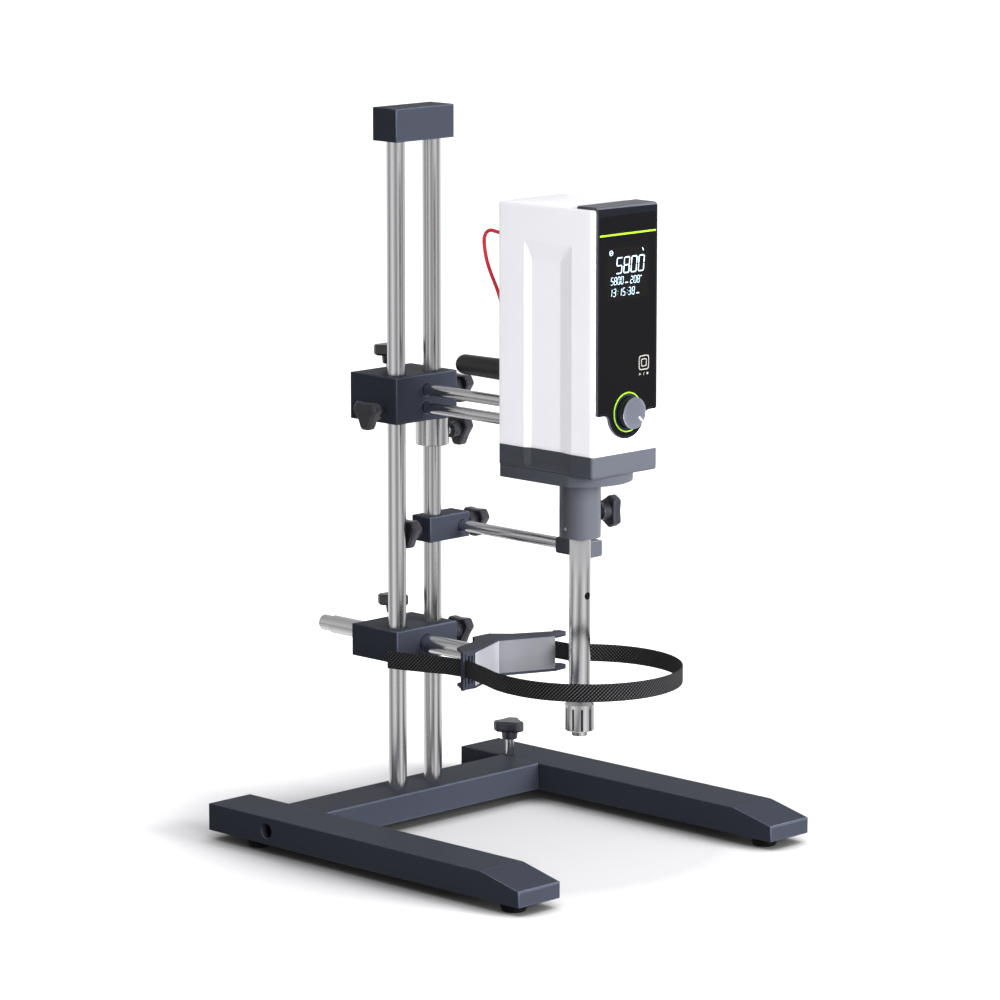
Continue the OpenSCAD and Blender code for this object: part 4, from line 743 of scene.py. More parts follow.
@dataclass
class RoundBar:
    """A turned bar between the ends of its CAD node, with a small chamfer at both ends."""

    rig: Rig
    node: str
    axis: Axis
    finish: Finish
    chamfer: float = 0.5

    def build(self) -> bpy.types.Object:
        """Lathes the bar from its node's box: the radius is half its width across the axis."""
        low, high = self.rig.box(self.node)
        along = int(np.argmax(np.abs(self.axis.value)))
        across = (along + 1) % 3
        radius, length = (high[across] - low[across]) / 2.0, high[along] - low[along]
        origin = (low + high) / 2.0
        origin[along] = low[along]
        profile = np.array([[radius - self.chamfer, 0.0], [radius, self.chamfer],
                            [radius, length - self.chamfer], [radius - self.chamfer, length]])
        grid = lathe(profile, origin, self.axis)
        return Shell(self.rig).grid(grid).build(f"{self.node}_bar", body_of(self.node), [self.finish], [self.node])


@dataclass
class ClampKnob:
    """A three-armed clamping knob with a tapered hub and a steel stud, in the place of its CAD node."""

    rig: Rig
    node: str
    axis: Axis
    radius: float = 15.0
    end_width: float = 8.5
    dip: float = 0.7
    thickness: float = 9.5
    hub_length: float = 7.5
    hub_radius: float = 7.8
    stud_radius: float = 4.0
    edge: float = 1.3

    def outline(self, angle: np.ndarray) -> np.ndarray:
        """The head's radius at each angle: the soft least of three arm ends and three hollow sides.

        Args:
            angle: Angles from the first arm's middle, in radians.

        Returns:
            The radius at each angle.
        """
        half = math.asin(self.end_width / 2.0 / self.radius)
        third = 2.0 * math.pi / 3.0
        from_arm = (angle + third / 2.0) % third - third / 2.0
        end = self.radius * math.cos(half) / np.cos(from_arm)
        from_side = third / 2.0 - np.abs(from_arm)
        span = third / 2.0 - half
        chord = self.radius * math.cos(span)
        side = (chord - self.dip * (1.0 - (np.clip(from_side / span, 0.0, 1.0)) ** 2)) / np.cos(
            np.minimum(from_side, 1.2))
        power = 16.0
        return (end**-power + side**-power) ** (-1.0 / power)

    def build(self) -> bpy.types.Object:
        """Builds hub, head and stud along the CAD node's own axis and at its own turn."""
        pts = self.rig.points(self.node)
        u, v, w = self.axis.basis()
        height = pts @ w
        tip, top = height.min(), height.max()
        middle = pts[height < tip + 0.05].mean(0)
        radial = pts - middle
        x, y = radial @ u, radial @ v
        far = np.hypot(x, y) > self.radius - 0.4
        turn = np.angle(np.exp(3j * np.arctan2(y[far], x[far])).mean()) / 3.0
        origin = middle - w * (middle @ w)
        hub_low, head_low = top - self.thickness - self.hub_length, top - self.thickness
        shell = Shell(self.rig)
        stud = fillet([(self.stud_radius - 0.7, tip), (self.stud_radius, tip + 0.7),
                       (self.stud_radius, hub_low + 1.0)], [0, 0.2, 0])
        shell.grid(lathe(stud, origin, self.axis, 32), caps=(True, False), slot=1)
        hub = fillet([(self.stud_radius, hub_low), (self.hub_radius - 1.0, hub_low),
                      (self.hub_radius, head_low + 0.4)], [0, 0.6, 0])
        shell.grid(lathe(hub, origin, self.axis, 48), caps=(False, False))
        angle = np.arange(144) * 2.0 * np.pi / 144
        reach = self.outline(angle - turn)
        rim = fillet([(2.4, 0.0), (self.edge, 0.0), (0.0, self.edge), (0.0, self.thickness - self.edge),
                      (self.edge, self.thickness), (self.edge + 1.8, self.thickness)],
                     [0, 0.7, 0.7, 0.7, 0.7, 0], 3)
        ring = np.cos(angle)[:, None] * u + np.sin(angle)[:, None] * v
        spread = (reach[None] - rim[:, :1])[..., None] * ring[None]
        head = origin + spread + (head_low + rim[:, 1])[:, None, None] * w
        shell.grid(head)
        return shell.build(f"{self.node}_moulded", body_of(self.node), [KNOB, STUD], [self.node], 32.0)


# ---------------------------------------------------------------- sub-assemblies


@dataclass
class Stand:
    """H base, uprights and end block."""

    rig: Rig

    def build(self) -> None:
        """Dresses the bars, feet and screws, and turns the uprights and the levelling screw."""
        for node in ("left_leg", "right_leg", "crossbar", "end_block"):
            dressed(node, PAINT)
        for node in ("left_upright", "right_upright"):
            RoundBar(self.rig, node, Axis.UP, STEEL_UP).build()
        dressed("rubber_feet", RUBBER)
        dressed("levelling_foot", RUBBER)
        dressed("base_screws", SCREW_BLACK_AND_SHADE)
        ClampKnob(self.rig, "levelling_knob", Axis.UP).build()


@dataclass
class Carriage:
    """The block that carries the head, its arm rods, and the stop collar under it."""

    rig: Rig
    collar_edge: float = 0.6

    def build(self) -> None:
        """Dresses the block and turns its rods, knobs and collar."""
        dressed("carriage_block", PAINT)
        for node in ("upper_arm_rod", "lower_arm_rod"):
            RoundBar(self.rig, node, Axis.BACK, STEEL_DEEP).build()
        RoundBar(self.rig, "stop_collar", Axis.UP, STEEL_UP, self.collar_edge).build()
        for node, axis in (("carriage_left_knob", Axis.LEFT), ("carriage_right_knob", Axis.RIGHT),
                           ("carriage_top_knob", Axis.UP), ("stop_collar_knob", Axis.RIGHT)):
            ClampKnob(self.rig, node, axis).build()


@dataclass
class ProbeArm:
    """The small clamp, its rod and the probe holder."""

    rig: Rig

    def build(self) -> None:
        """Dresses the clamp and holder and turns the rod and knobs."""
        dressed("probe_clamp", PAINT)
        dressed("probe_holder", TRIM)
        RoundBar(self.rig, "probe_rod", Axis.BACK, STEEL_DEEP).build()
        ClampKnob(self.rig, "probe_left_knob", Axis.LEFT).build()
        ClampKnob(self.rig, "probe_right_knob", Axis.RIGHT).build()


@dataclass
class StrapArm:
    """The strap block, its rod, the V head and the webbing strap."""

    rig: Rig
    turn_length: float = 13.5
    turn_radius: float = 7.0
    strap_thickness: float = 1.5
    loop_radius: float = 82.5
    loop_y: float = -208.5
    web_end: tuple = (49.2, -120.95)
    wrap_radius: float = 1.3
    fold_share: float = 0.45
    fixed_start: tuple = ((30.7, -112.14), (39.6, -115.84))
    fixed_run: tuple = ((50.55, -126.5), (51.05, -133.0), (51.15, -139.0))
    tail: tuple = ((-82.1, -194.5), (-78.9, -178.5), (-73.0, -162.5), (-67.35, -146.0), (-62.95, -133.0),
                   (-61.75, -124.0), (-62.45, -115.0), (-65.05, -101.0), (-70.75, -86.0), (-76.75, -69.0),
                   (-81.75, -50.0))

    def strap_path(self) -> np.ndarray:
        """The strap's line seen from above: its fixed end, three quarters of a circle, and its tail."""
        angle = np.radians(np.arange(54.0, -181.0, -4.5))
        loop = np.column_stack([self.loop_radius * np.cos(angle),
                                self.loop_y + self.loop_radius * np.sin(angle)])
        turn = np.radians(np.arange(66.0, -1.0, -11.0))
        wrap = np.array(self.web_end) + self.wrap_radius * np.column_stack([np.cos(turn), np.sin(turn)])
        start = np.concatenate([np.array(self.fixed_start), wrap, np.array(self.fixed_run)])
        return np.concatenate([start, loop, spline(np.array(self.tail), 6)])

    def strap(self) -> bpy.types.Object:
        """The webbing: a flat oval carried along the strap's line. A point is the line's point, plus the
        side direction times half the thickness, plus the height across the width.

        Returns:
            The strap.
        """
        low, high = self.rig.box("vessel_strap")
        path = self.strap_path()
        along = tangents(path)
        side = np.column_stack([-along[:, 1], along[:, 0]])
        run = np.concatenate([[0.0], np.cumsum(np.linalg.norm(np.diff(path, axis=0), axis=1))])
        width, half = high[2] - low[2], self.strap_thickness / 2.0
        across = np.array([0.0, 0.25, 0.7, 3.0, 6.0, 9.4, 12.4, width - 0.7, width - 0.25, width])
        thick = np.array([0.35, 0.75, 1.0, 1.0, 1.0, 1.0, 1.0, 1.0, 0.75, 0.35]) * half
        section = np.column_stack([np.concatenate([thick, -thick[::-1]]),
                                   np.concatenate([across, across[::-1]])])
        grid = np.zeros((len(path), len(section), 3))
        grid[..., :2] = path[:, None] + side[:, None] * section[None, :, :1]
        grid[..., 2] = low[2] + section[None, :, 1]
        cloth = np.zeros_like(grid)
        cloth[..., 0] = run[:, None]
        cloth[..., 1] = section[None, :, 1]
        return Shell(self.rig).grid(grid, cloth=cloth).build("strap_webbing", "strap_arm", [STRAP_CLOTH],
                                                            ["vessel_strap"], 50.0)

    def rod(self) -> bpy.types.Object:
        """The strap rod with its turned-down end, lathed from its node's box."""
        low, high = self.rig.box("strap_rod")
        radius, length = (high[0] - low[0]) / 2.0, high[1] - low[1]
        shoulder = length - self.turn_length
        profile = fillet([(radius - 0.5, 0), (radius, 0.5), (radius, shoulder - 0.4), (radius - 0.4, shoulder),
                          (self.turn_radius, shoulder + 0.4), (self.turn_radius, length - 0.7),
                          (self.turn_radius - 0.7, length)], [0, 0, 0.1, 0.1, 0.2, 0.2, 0])
        origin = [(low[0] + high[0]) / 2.0, low[1], (low[2] + high[2]) / 2.0]
        return Shell(self.rig).grid(lathe(profile, origin, Axis.BACK)).build(
            "strap_rod_turned", "strap_arm", [STEEL_DEEP], ["strap_rod"])

    def build(self) -> None:
        """Builds the strap arm's pieces."""
        dressed("strap_block", PAINT)
        dressed("strap_bracket", BRACKET, bevel=0.35)
        # the plate's left face, past the fold, takes the lighter copy of the silver: painted light on the face the
        # light falls on
        low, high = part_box("strap_plate")
        fold = low.x + self.fold_share * (high.x - low.x)
        dressed("strap_plate", SILVER, bevel=0.25, second=SILVER_PAINTED_LIGHT, where=lambda mid: mid[:, 0] < fold)
        ClampKnob(self.rig, "strap_side_knob", Axis.RIGHT).build()
        ClampKnob(self.rig, "strap_top_knob", Axis.UP).build()
        self.rod()
        self.strap()


@dataclass
class HeadShell:
    """The white shell and the drive base under it, with the recess that runs across both."""

    rig: Rig
    half_width: float = 40.0
    front_y: float = -253.3
    back_y: float = -143.0
    split_z: float = 359.9
    top_z: float = 567.2
    base_z: float = 340.9
    step_z: float = 331.2
    corner: float = 2.5
    recess_back: float = -173.5
    recess_front: float = -229.5
    recess_top: float = 536.6
    recess_low: float = 343.4
    recess_depth: float = 3.0
    back_bevel: float = 6.1
    front_ramp: float = 16.0
    top_bevel: float = 15.4
    low_bevel: float = 3.3
    low_round: float = 8.0
    axis_y: float = -201.5
    step_radius: float = 44.8
    step_half: float = 39.4

    def dent(self, y: np.ndarray, z: np.ndarray) -> np.ndarray:
        """Depth of the side recess: the least of the four ramps from its edges and of the ramp from its
        two round lower corners, held between nothing and the full depth with soft corners.

        Args:
            y: Places along the side.
            z: Heights.

        Returns:
            The depth at each place.
        """
        y, z = np.broadcast_arrays(y, z)
        back, front = self.recess_back - y, y - self.recess_front
        top, low = self.recess_top - z, z - self.recess_low
        reach = np.minimum(back, front)
        corner_y = self.low_round - np.clip(reach, -50.0, self.low_round)
        corner_z = self.low_round - np.clip(low, -50.0, self.low_round)
        rounded = self.low_round - np.hypot(corner_y, corner_z)
        ramp = np.minimum.reduce([back / self.back_bevel, front / self.front_ramp, top / self.top_bevel,
                                  low / self.low_bevel, rounded / self.low_bevel])
        return self.recess_depth * np.clip(smooth_clip(ramp, 0.035) - smooth_clip(np.float64(0.0), 0.035), 0, 1)

    def ring(self) -> tuple[np.ndarray, np.ndarray]:
        """The outline seen from above, with close columns at the recess's creases.

        Returns:
            The points, and the outward normal at each.
        """
        r, w = self.corner, self.half_width
        marks = [self.recess_back, self.recess_back - self.back_bevel, self.recess_front,
                 self.recess_front + self.front_ramp]
        near = np.concatenate([m + np.array([-1.6, -0.8, -0.4, 0.0, 0.4, 0.8, 1.6]) for m in marks])
        side_y = np.unique(np.round(np.concatenate([np.linspace(self.front_y + r, self.back_y - r, 44), near]), 3))
        arc = np.linspace(0.0, np.pi / 2.0, 7)[1:-1]
        flat_x = np.linspace(-w + r, w - r, 6)
        parts, normals = [], []

        def line(x: np.ndarray, y: np.ndarray, nx: float, ny: float) -> None:
            """Adds a straight stretch with one normal."""
            parts.append(np.column_stack([x, y]))
            normals.append(np.tile([nx, ny], (len(x), 1)))

        def bend(cx: float, cy: float, start: float) -> None:
            """Adds a quarter round about (cx, cy)."""
            n = np.column_stack([np.cos(start + arc), np.sin(start + arc)])
            parts.append(np.array([cx, cy]) + r * n)
            normals.append(n)

        line(flat_x, np.full(6, self.front_y), 0.0, -1.0)
        bend(w - r, self.front_y + r, -np.pi / 2.0)
        line(np.full(len(side_y), w), side_y, 1.0, 0.0)
        bend(w - r, self.back_y - r, 0.0)
        line(flat_x[::-1], np.full(6, self.back_y), 0.0, 1.0)
        bend(-w + r, self.back_y - r, np.pi / 2.0)
        line(np.full(len(side_y), -w), side_y[::-1], -1.0, 0.0)
        bend(-w + r, self.front_y + r, np.pi)
        return np.concatenate(parts), np.concatenate(normals)

    def skin(self, heights: np.ndarray, insets: np.ndarray) -> np.ndarray:
        """The outline at each height, pushed in by that height's inset and by the recess.

        Args:
            heights: The rows' heights.
            insets: The rows' insets.

        Returns:
            A grid of points.
        """
        ring, normal = self.ring()
        push = self.dent(ring[None, :, 1], heights[:, None]) * np.abs(normal[None, :, 0]).round()
        moved = ring[None] - normal[None] * (insets[:, None] + push)[..., None]
        z = np.broadcast_to(heights[:, None, None], (*moved.shape[:2], 1))
        return np.concatenate([moved, z], axis=2)

    def rows(self, low: float, high: float, count: int) -> np.ndarray:
        """Heights between two levels, closer at the recess's creases."""
        marks = [self.recess_low, self.recess_low + self.low_bevel, self.recess_top,
                 self.recess_top - self.top_bevel]
        near = np.concatenate([m + np.array([-1.6, -0.8, -0.4, 0.0, 0.4, 0.8, 1.6]) for m in marks])
        every = np.concatenate([np.linspace(low, high, count), near[(near > low) & (near < high)]])
        return np.unique(np.round(every, 3))

    def shell(self) -> bpy.types.Object:
        """The white shell: straight rows, then a quarter round over the top edge."""
        r = self.corner
        bend = np.linspace(0.0, np.pi / 2.0, 7)
        straight = self.rows(self.split_z + 0.25, self.top_z - r, 60)
        heights = np.concatenate([[self.split_z], straight, self.top_z - r + r * np.sin(bend[1:])])
        insets = np.concatenate([[0.25], np.zeros(len(straight)), r - r * np.cos(bend[1:])])
        return Shell(self.rig).grid(self.skin(heights, insets)).build(
            "white_shell", "head", [SHELL], ["housing"], 60.0)

    def base(self) -> bpy.types.Object:
        """The drive base and the round-fronted step under it."""
        r, bend = self.corner, np.linspace(np.pi / 2.0, 0.0, 7)[:-1]
        straight = self.rows(self.base_z + r, self.split_z - 0.25, 24)
        heights = np.concatenate([self.base_z + r - r * np.sin(bend), straight, [self.split_z]])
        insets = np.concatenate([r - r * np.cos(bend), np.zeros(len(straight)), [0.25]])
        shell = Shell(self.rig).grid(self.skin(heights, insets))
        half = self.step_half
        reach = math.sqrt(self.step_radius**2 - half**2)
        turn = math.atan2(half, reach)
        angle = np.linspace(-turn, turn, 49)
        front = np.column_stack([self.step_radius * np.sin(angle),
                                 self.axis_y - self.step_radius * np.cos(angle)])
        back = np.array([[half, self.back_y - 1.6], [half - 1.0, self.back_y - 0.6],
                         [1.0 - half, self.back_y - 0.6], [-half, self.back_y - 1.6]])
        ring = np.concatenate([front, back])
        centre = np.array([0.0, self.axis_y])
        levels = fillet([(1.2, self.step_z), (0.0, self.step_z), (0.0, self.base_z + 0.5)], [0, 0.7, 0], 4)
        shrink = 1.0 - levels[:, :1] / self.step_radius
        grid = np.concatenate([centre + (ring - centre)[None] * shrink[..., None],
                               np.broadcast_to(levels[:, 1, None, None], (len(levels), len(ring), 1))], axis=2)
        return shell.grid(grid).build("drive_base_shell", "head", [TRIM], ["drive_base"], 38.0)

    def build(self) -> None:
        """Builds both shells."""
        self.shell()
        self.base()


@dataclass
class Panel:
    """The front panel: its frame, smoked face, lime line, display and touch key."""

    rig: Rig
    lime_z: float = 544.9
    lime_height: float = 1.5
    face_half: float = 34.0
    window: tuple[float, float, float, float] = (-25.2, 24.6, 490.6, 534.6)
    key: tuple[float, float, float, float] = (13.9, 26.4, 428.6, 440.8)
    lift: float = 0.04
    ring_band: float = 1.0
    ring_bore: float = 13.6

    SEGMENTS = {"0": "abcdef", "1": "bc", "2": "abdeg", "3": "abcdg", "5": "acdfg", "8": "abcdefg"}

    def stroke(self, start: np.ndarray, end: np.ndarray, width: float) -> np.ndarray:
        """A stroke with pointed ends: the line between two points, half its width to each side, with the
        sides pulled in by that half at both ends.

        Args:
            start: One end, as X and Z.
            end: The other end.
            width: The stroke's width.

        Returns:
            The six corners.
        """
        along = (end - start) / np.linalg.norm(end - start)
        side = np.array([-along[1], along[0]]) * width / 2.0
        cut = along * width / 2.0
        return np.array([start, start + cut + side, end - cut + side, end, end - cut - side, start + cut - side])

    def digit(self, shell: Shell, sign: str, x: float, z: float, width: float, height: float,
              weight: float, y_face: float) -> None:
        """Draws one seven-stroke figure, leaning to the right by a tenth of its height.

        Args:
            shell: Where the strokes go.
            sign: The figure.
            x: Its left side.
            z: Its foot.
            width: Its width.
            height: Its height.
            weight: The width of a stroke.
            y_face: The Y of the strokes' face.
        """
        lean, gap = 0.1, 0.12 * weight + 0.12
        node = {"tl": (0, 1), "tr": (1, 1), "ml": (0, 0.5), "mr": (1, 0.5), "bl": (0, 0), "br": (1, 0)}
        ends = {"a": ("tl", "tr"), "b": ("tr", "mr"), "c": ("mr", "br"), "d": ("bl", "br"), "e": ("ml", "bl"),
                "f": ("tl", "ml"), "g": ("ml", "mr")}
        for key in self.SEGMENTS[sign]:
            a, b = (np.array([x + node[n][0] * width + lean * node[n][1] * height, z + node[n][1] * height])
                    for n in ends[key])
            along = (b - a) / np.linalg.norm(b - a)
            shell.plate(self.stroke(a + along * gap, b - along * gap, weight), y_face, 0.03)

    def row(self, shell: Shell, text: str, x: float, z: float, width: float, height: float, step: float,
            weight: float, y_face: float) -> None:
        """Draws a row of figures; a colon takes half a step.

        Args:
            shell: Where the strokes go.
            text: The figures.
            x: The left side of the first.
            z: The row's foot.
            width: The width of a figure.
            height: The height of a figure.
            step: The distance between figures.
            weight: The width of a stroke.
            y_face: The Y of the strokes' face.
        """
        for sign in text:
            if sign == ":":
                for level in (0.28, 0.68):
                    middle = np.array([x + 0.22 * step + 0.1 * level * height, z + level * height])
                    shell.plate(middle + weight * 0.55 * np.array([[-1, -1], [1, -1], [1, 1], [-1, 1]]),
                                y_face, 0.03)
                x += 0.5 * step
                continue
            self.digit(shell, sign, x, z, width, height, weight, y_face)
            x += step

    def display(self, y_face: float) -> None:
        """The dark window and its lit figures."""
        x0, x1, z0, z1 = self.window
        pane = np.array([[x0, z0], [x1, z0], [x1, z1], [x0, z1]])
        Shell(self.rig).plate(pane, y_face - self.lift, self.lift + 0.3).build(
            "display_window", "head", [SCREEN])
        lit = Shell(self.rig)
        y_lit = y_face - self.lift - 0.02
        self.row(lit, "5800", -14.2, 512.9, 6.3, 13.0, 8.9, 0.85, y_lit)
        self.row(lit, "5800", -20.6, 503.8, 2.7, 6.0, 4.0, 0.42, y_lit)
        self.row(lit, "208", 3.0, 503.4, 2.7, 5.8, 4.1, 0.42, y_lit)
        self.row(lit, "13:15:38", -22.4, 494.0, 2.8, 6.1, 4.55, 0.42, y_lit)
        marks = [(-3.4, 504.2, 3.4, 0.7), (10.6, 494.2, 3.2, 0.7), (15.6, 508.2, 1.3, 1.0)]
        for x, z, w, h in marks:
            lit.plate(np.array([[x, z], [x + w, z], [x + w, z + h], [x, z + h]]), y_lit, 0.03)
        turn = np.linspace(0.0, 2.0 * np.pi, 17)[:-1]
        for start in range(16):
            pair = turn[[start, (start + 1) % 16]]
            inner = np.column_stack([np.cos(pair), np.sin(pair)])
            corners = np.concatenate([2.2 * inner, 1.75 * inner[::-1]]) + np.array([-20.3, 530.6])
            lit.plate(corners, y_lit, 0.03)
        lit.plate(self.stroke(np.array([-21.5, 530.6]), np.array([-19.1, 530.6]), 0.7), y_lit, 0.03)
        lit.plate(self.stroke(np.array([17.4, 532.4]), np.array([19.2, 529.6]), 0.7), y_lit, 0.03)
        lit.build("display_figures", "head", [LIT])

    def key_marks(self, y_face: float) -> None:
        """The touch key: two round-cornered frames, with the plain start and stop signs under them."""
        marks = Shell(self.rig)
        x0, x1, z0, z1 = self.key
        centre = np.array([(x0 + x1) / 2.0, (z0 + z1) / 2.0])
        for half, line, round_r in (((x1 - x0) / 2.0, 0.85, 2.6), (3.4, 0.8, 1.2)):
            angle = np.linspace(0.0, 2.0 * np.pi, 49)
            base = np.column_stack([np.cos(angle), np.sin(angle)])
            power = 6.0 if round_r > 2 else 5.0
            size = (np.abs(base) ** power).sum(1, keepdims=True) ** (-1.0 / power)
            ring = base * size
            for i in range(48):
                pair = ring[[i, i + 1]]
                corners = np.concatenate([centre + pair * half, centre + pair[::-1] * (half - line)])
                marks.plate(corners, y_face - self.lift, self.lift + 0.02)
        z = self.key[2] - 3.4
        triangle = np.array([[x0 + 0.6, z - 1.1], [x0 + 2.8, z], [x0 + 0.6, z + 1.1]])
        square = np.array([[x1 - 2.8, z - 0.95], [x1 - 0.9, z - 0.95], [x1 - 0.9, z + 0.95], [x1 - 2.8, z + 0.95]])
        slash = np.array([[centre[0] - 0.9, z - 1.3], [centre[0] - 0.4, z - 1.3], [centre[0] + 0.9, z + 1.3],
                          [centre[0] + 0.4, z + 1.3]])
        for shape in (triangle, square, slash):
            marks.plate(shape, y_face - self.lift, self.lift + 0.02)
        marks.build("key_marks", "head", [MARK])

    def dial_ring(self) -> bpy.types.Object:
        """The ring round the dial: a dark annulus with a narrow lime band at its rim, lathed from its box."""
        low, high = self.rig.box("dial_ring")
        radius, depth = (high[0] - low[0]) / 2.0, high[1] - low[1]
        origin = [(low[0] + high[0]) / 2.0, high[1], (low[2] + high[2]) / 2.0]
        band = radius - self.ring_band
        outer = np.array([[radius, 0.0], [radius, depth - 0.1], [radius - 0.1, depth], [band, depth]])
        inner = np.array([[band, depth], [band - 0.1, depth - 0.15], [self.ring_bore, depth - 0.15],
                          [self.ring_bore, 0.0]])
        shell = Shell(self.rig).grid(lathe(outer, origin, Axis.FRONT), caps=(False, False))
        shell.grid(lathe(inner, origin, Axis.FRONT), caps=(False, False), slot=1)
        return shell.build("dial_ring_turned", "head", [LIME, DIAL_DARK], ["dial_ring"], 40.0)

    def build(self) -> None:
        """Builds the panel's pieces on the front of the smoked face."""
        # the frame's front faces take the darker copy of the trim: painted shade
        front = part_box("front_panel")[0].y + 0.0004
        dressed("front_panel", TRIM, bevel=0.35, sharp=50.0, second=PANEL_FRONT_SHADE, where=lambda mid: mid[:, 1] < front)
        dressed("display_glass", GLASS, bevel=0.12)
        self.dial_ring()
        y_face = self.rig.box("display_glass")[0][1]
        half, z = self.face_half - 0.1, self.lime_z
        line = np.array([[-half, z], [half, z], [half, z + self.lime_height], [-half, z + self.lime_height]])
        Shell(self.rig).plate(line, y_face - self.lift, self.lift + 0.02).build("lime_line", "head", [LIME])
        self.display(y_face)
        self.key_marks(y_face)
        painted(SCREEN, "display_module")
        painted(BOARD, "control_board")
        painted(MOTOR, "dial_encoder")


@dataclass
class Dial:
    """The speed dial: a dark barrel, a dished cap with a bright rim, and a pointer line."""

    rig: Rig
    barrel_radius: float = 13.0
    cap_radius: float = 13.5
    reach: float = 9.4
    band: float = 1.6
    rim: float = 1.0
    dish: float = 0.9
    pointer_angle: float = -40.0

    def build(self) -> bpy.types.Object:
        """Turns the dial about its own axis, front face last."""
        low, high = self.rig.box("speed_dial")
        origin = np.array([(low[0] + high[0]) / 2.0, low[1], (low[2] + high[2]) / 2.0])
        shell = Shell(self.rig)
        barrel = fillet([(self.barrel_radius - 1.2, -self.reach + 0.5), (self.barrel_radius, -self.reach + 0.5),
                         (self.barrel_radius - 0.2, -self.band - 0.5), (self.cap_radius - 0.7, -self.band - 0.2)],
                        [0, 0.5, 0.3, 0])
        shell.grid(lathe(barrel, origin, Axis.FRONT), caps=(True, False))
        cap = fillet([(self.cap_radius - 0.8, -self.band - 0.3), (self.cap_radius, -self.band),
                      (self.cap_radius, -0.35), (self.cap_radius - self.rim, 0.0),
                      (self.cap_radius - self.rim - 0.9, -0.45), (self.cap_radius * 0.6, -self.dish + 0.1),
                      (0.4, -self.dish)], [0, 0.2, 0.5, 0.4, 0.5, 2.0, 0], 6)
        shell.grid(lathe(cap, origin, Axis.FRONT), caps=(False, True), slot=1)
        shaft = np.array([[3.0, -self.reach + 1.0], [3.0, -self.reach - 10.0]])
        shell.grid(lathe(shaft, origin, Axis.FRONT, 32), slot=0)
        angle = math.radians(self.pointer_angle)
        along = np.array([math.cos(angle), math.sin(angle)])
        side = np.array([-along[1], along[0]]) * 0.65
        centre = np.array([origin[0], origin[2]])
        a, b = centre + along * 6.2, centre + along * (self.cap_radius - 0.7)
        shell.plate(np.array([a - side, b - side, b + side, a + side]), origin[1] - 0.05, 1.0, slot=2)
        return shell.build("speed_dial_turned", "dial", [DIAL_DARK, DIAL_CAP, POINTER], ["speed_dial"], 50.0)


@dataclass
class RearFittings:
    """Handle, sensor lead with its socket and gland, mains inlet and power rocker."""

    rig: Rig
    handle_root: float = 9.75
    handle_radius: float = 8.75
    lead_radius: float = 1.6
    lead_x: float = -22.0
    back_y: float = -143.0
    split_z: float = 359.9
    lead_route: tuple = ((8, 177.1), (12, 177.1), (19, 177.5), (25, 178.3), (29.5, 177.5), (33, 174.5),
                         (34.5, 170), (34.3, 165), (32.8, 157), (30.5, 150), (27, 142.5), (23, 135.5),
                         (19, 128.5), (15.5, 121), (13.2, 115.8), (11.6, 113.1),
                         (10, 112.1), (8, 112.1))

    def handle(self) -> bpy.types.Object:
        """The grip: a slight taper that ends in a half sphere."""
        low, high = self.rig.box("handle_grip")
        length = high[1] - self.back_y
        r = self.handle_radius
        dome = np.linspace(0.0, np.pi / 2.0, 12)[1:-1]
        body = fillet([(self.handle_root - 1.0, 0.2), (self.handle_root, 1.0), (self.handle_root, 12.0),
                       (r + 0.3, 0.6 * length), (r, length - r)], [0, 0.6, 4.0, 8.0, 0])
        end = np.column_stack([r * np.cos(dome), length - r + r * np.sin(dome)])
        origin = [(low[0] + high[0]) / 2.0, self.back_y, (low[2] + high[2]) / 2.0]
        return Shell(self.rig).grid(lathe(np.concatenate([body, end]), origin, Axis.BACK)).build(
            "handle_moulded", "head", [GRIP], ["handle_grip"], 50.0)

    def lead(self) -> bpy.types.Object:
        """The red lead: a round tube along a smooth curve from its socket to its gland."""
        route = np.array([(self.lead_x, self.back_y + y, self.split_z + z) for y, z in self.lead_route])
        return Shell(self.rig).grid(tube(spline(route, 6), self.lead_radius)).build(
            "sensor_lead_sheath", "head", [LEAD], ["sensor_lead"], 60.0)

    def build(self) -> None:
        """Builds what is on the back of the head."""
        self.handle()
        self.lead()
        dressed("lead_socket", GRIP)
        dressed("lead_gland", GRIP)
        low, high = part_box("mains_inlet")
        cx, cz = (low.x + high.x) / 2.0, (low.z + high.z) / 2.0

        def blades(middles: np.ndarray) -> np.ndarray:
            """True on the faces of the three blades inside the inlet."""
            x, y, z = middles[:, 0] - cx, middles[:, 1], middles[:, 2] - cz
            inside = (np.abs(x) < 0.0062) & (np.abs(z) < 0.0085) & (y < high.y - 0.0035)
            return inside & (y > low.y + 0.0025)

        dressed("mains_inlet", GRIP, bevel=0.25, second=STEEL_INNER, where=blades)
        dressed("power_rocker", GRIP, bevel=0.25)
        painted(STEEL_INNER, "head_screws")


@dataclass
class Drive:
    """Motor inside the head, and the coupling at its foot."""

    def build(self) -> None:
        """Gives the inner pieces their finishes."""
        painted(MOTOR, "motor_can")
        painted(COPPER, "motor_stator")
        painted(STEEL_INNER, "motor_bearings", "motor_rotor", "motor_shaft", "drive_coupling")


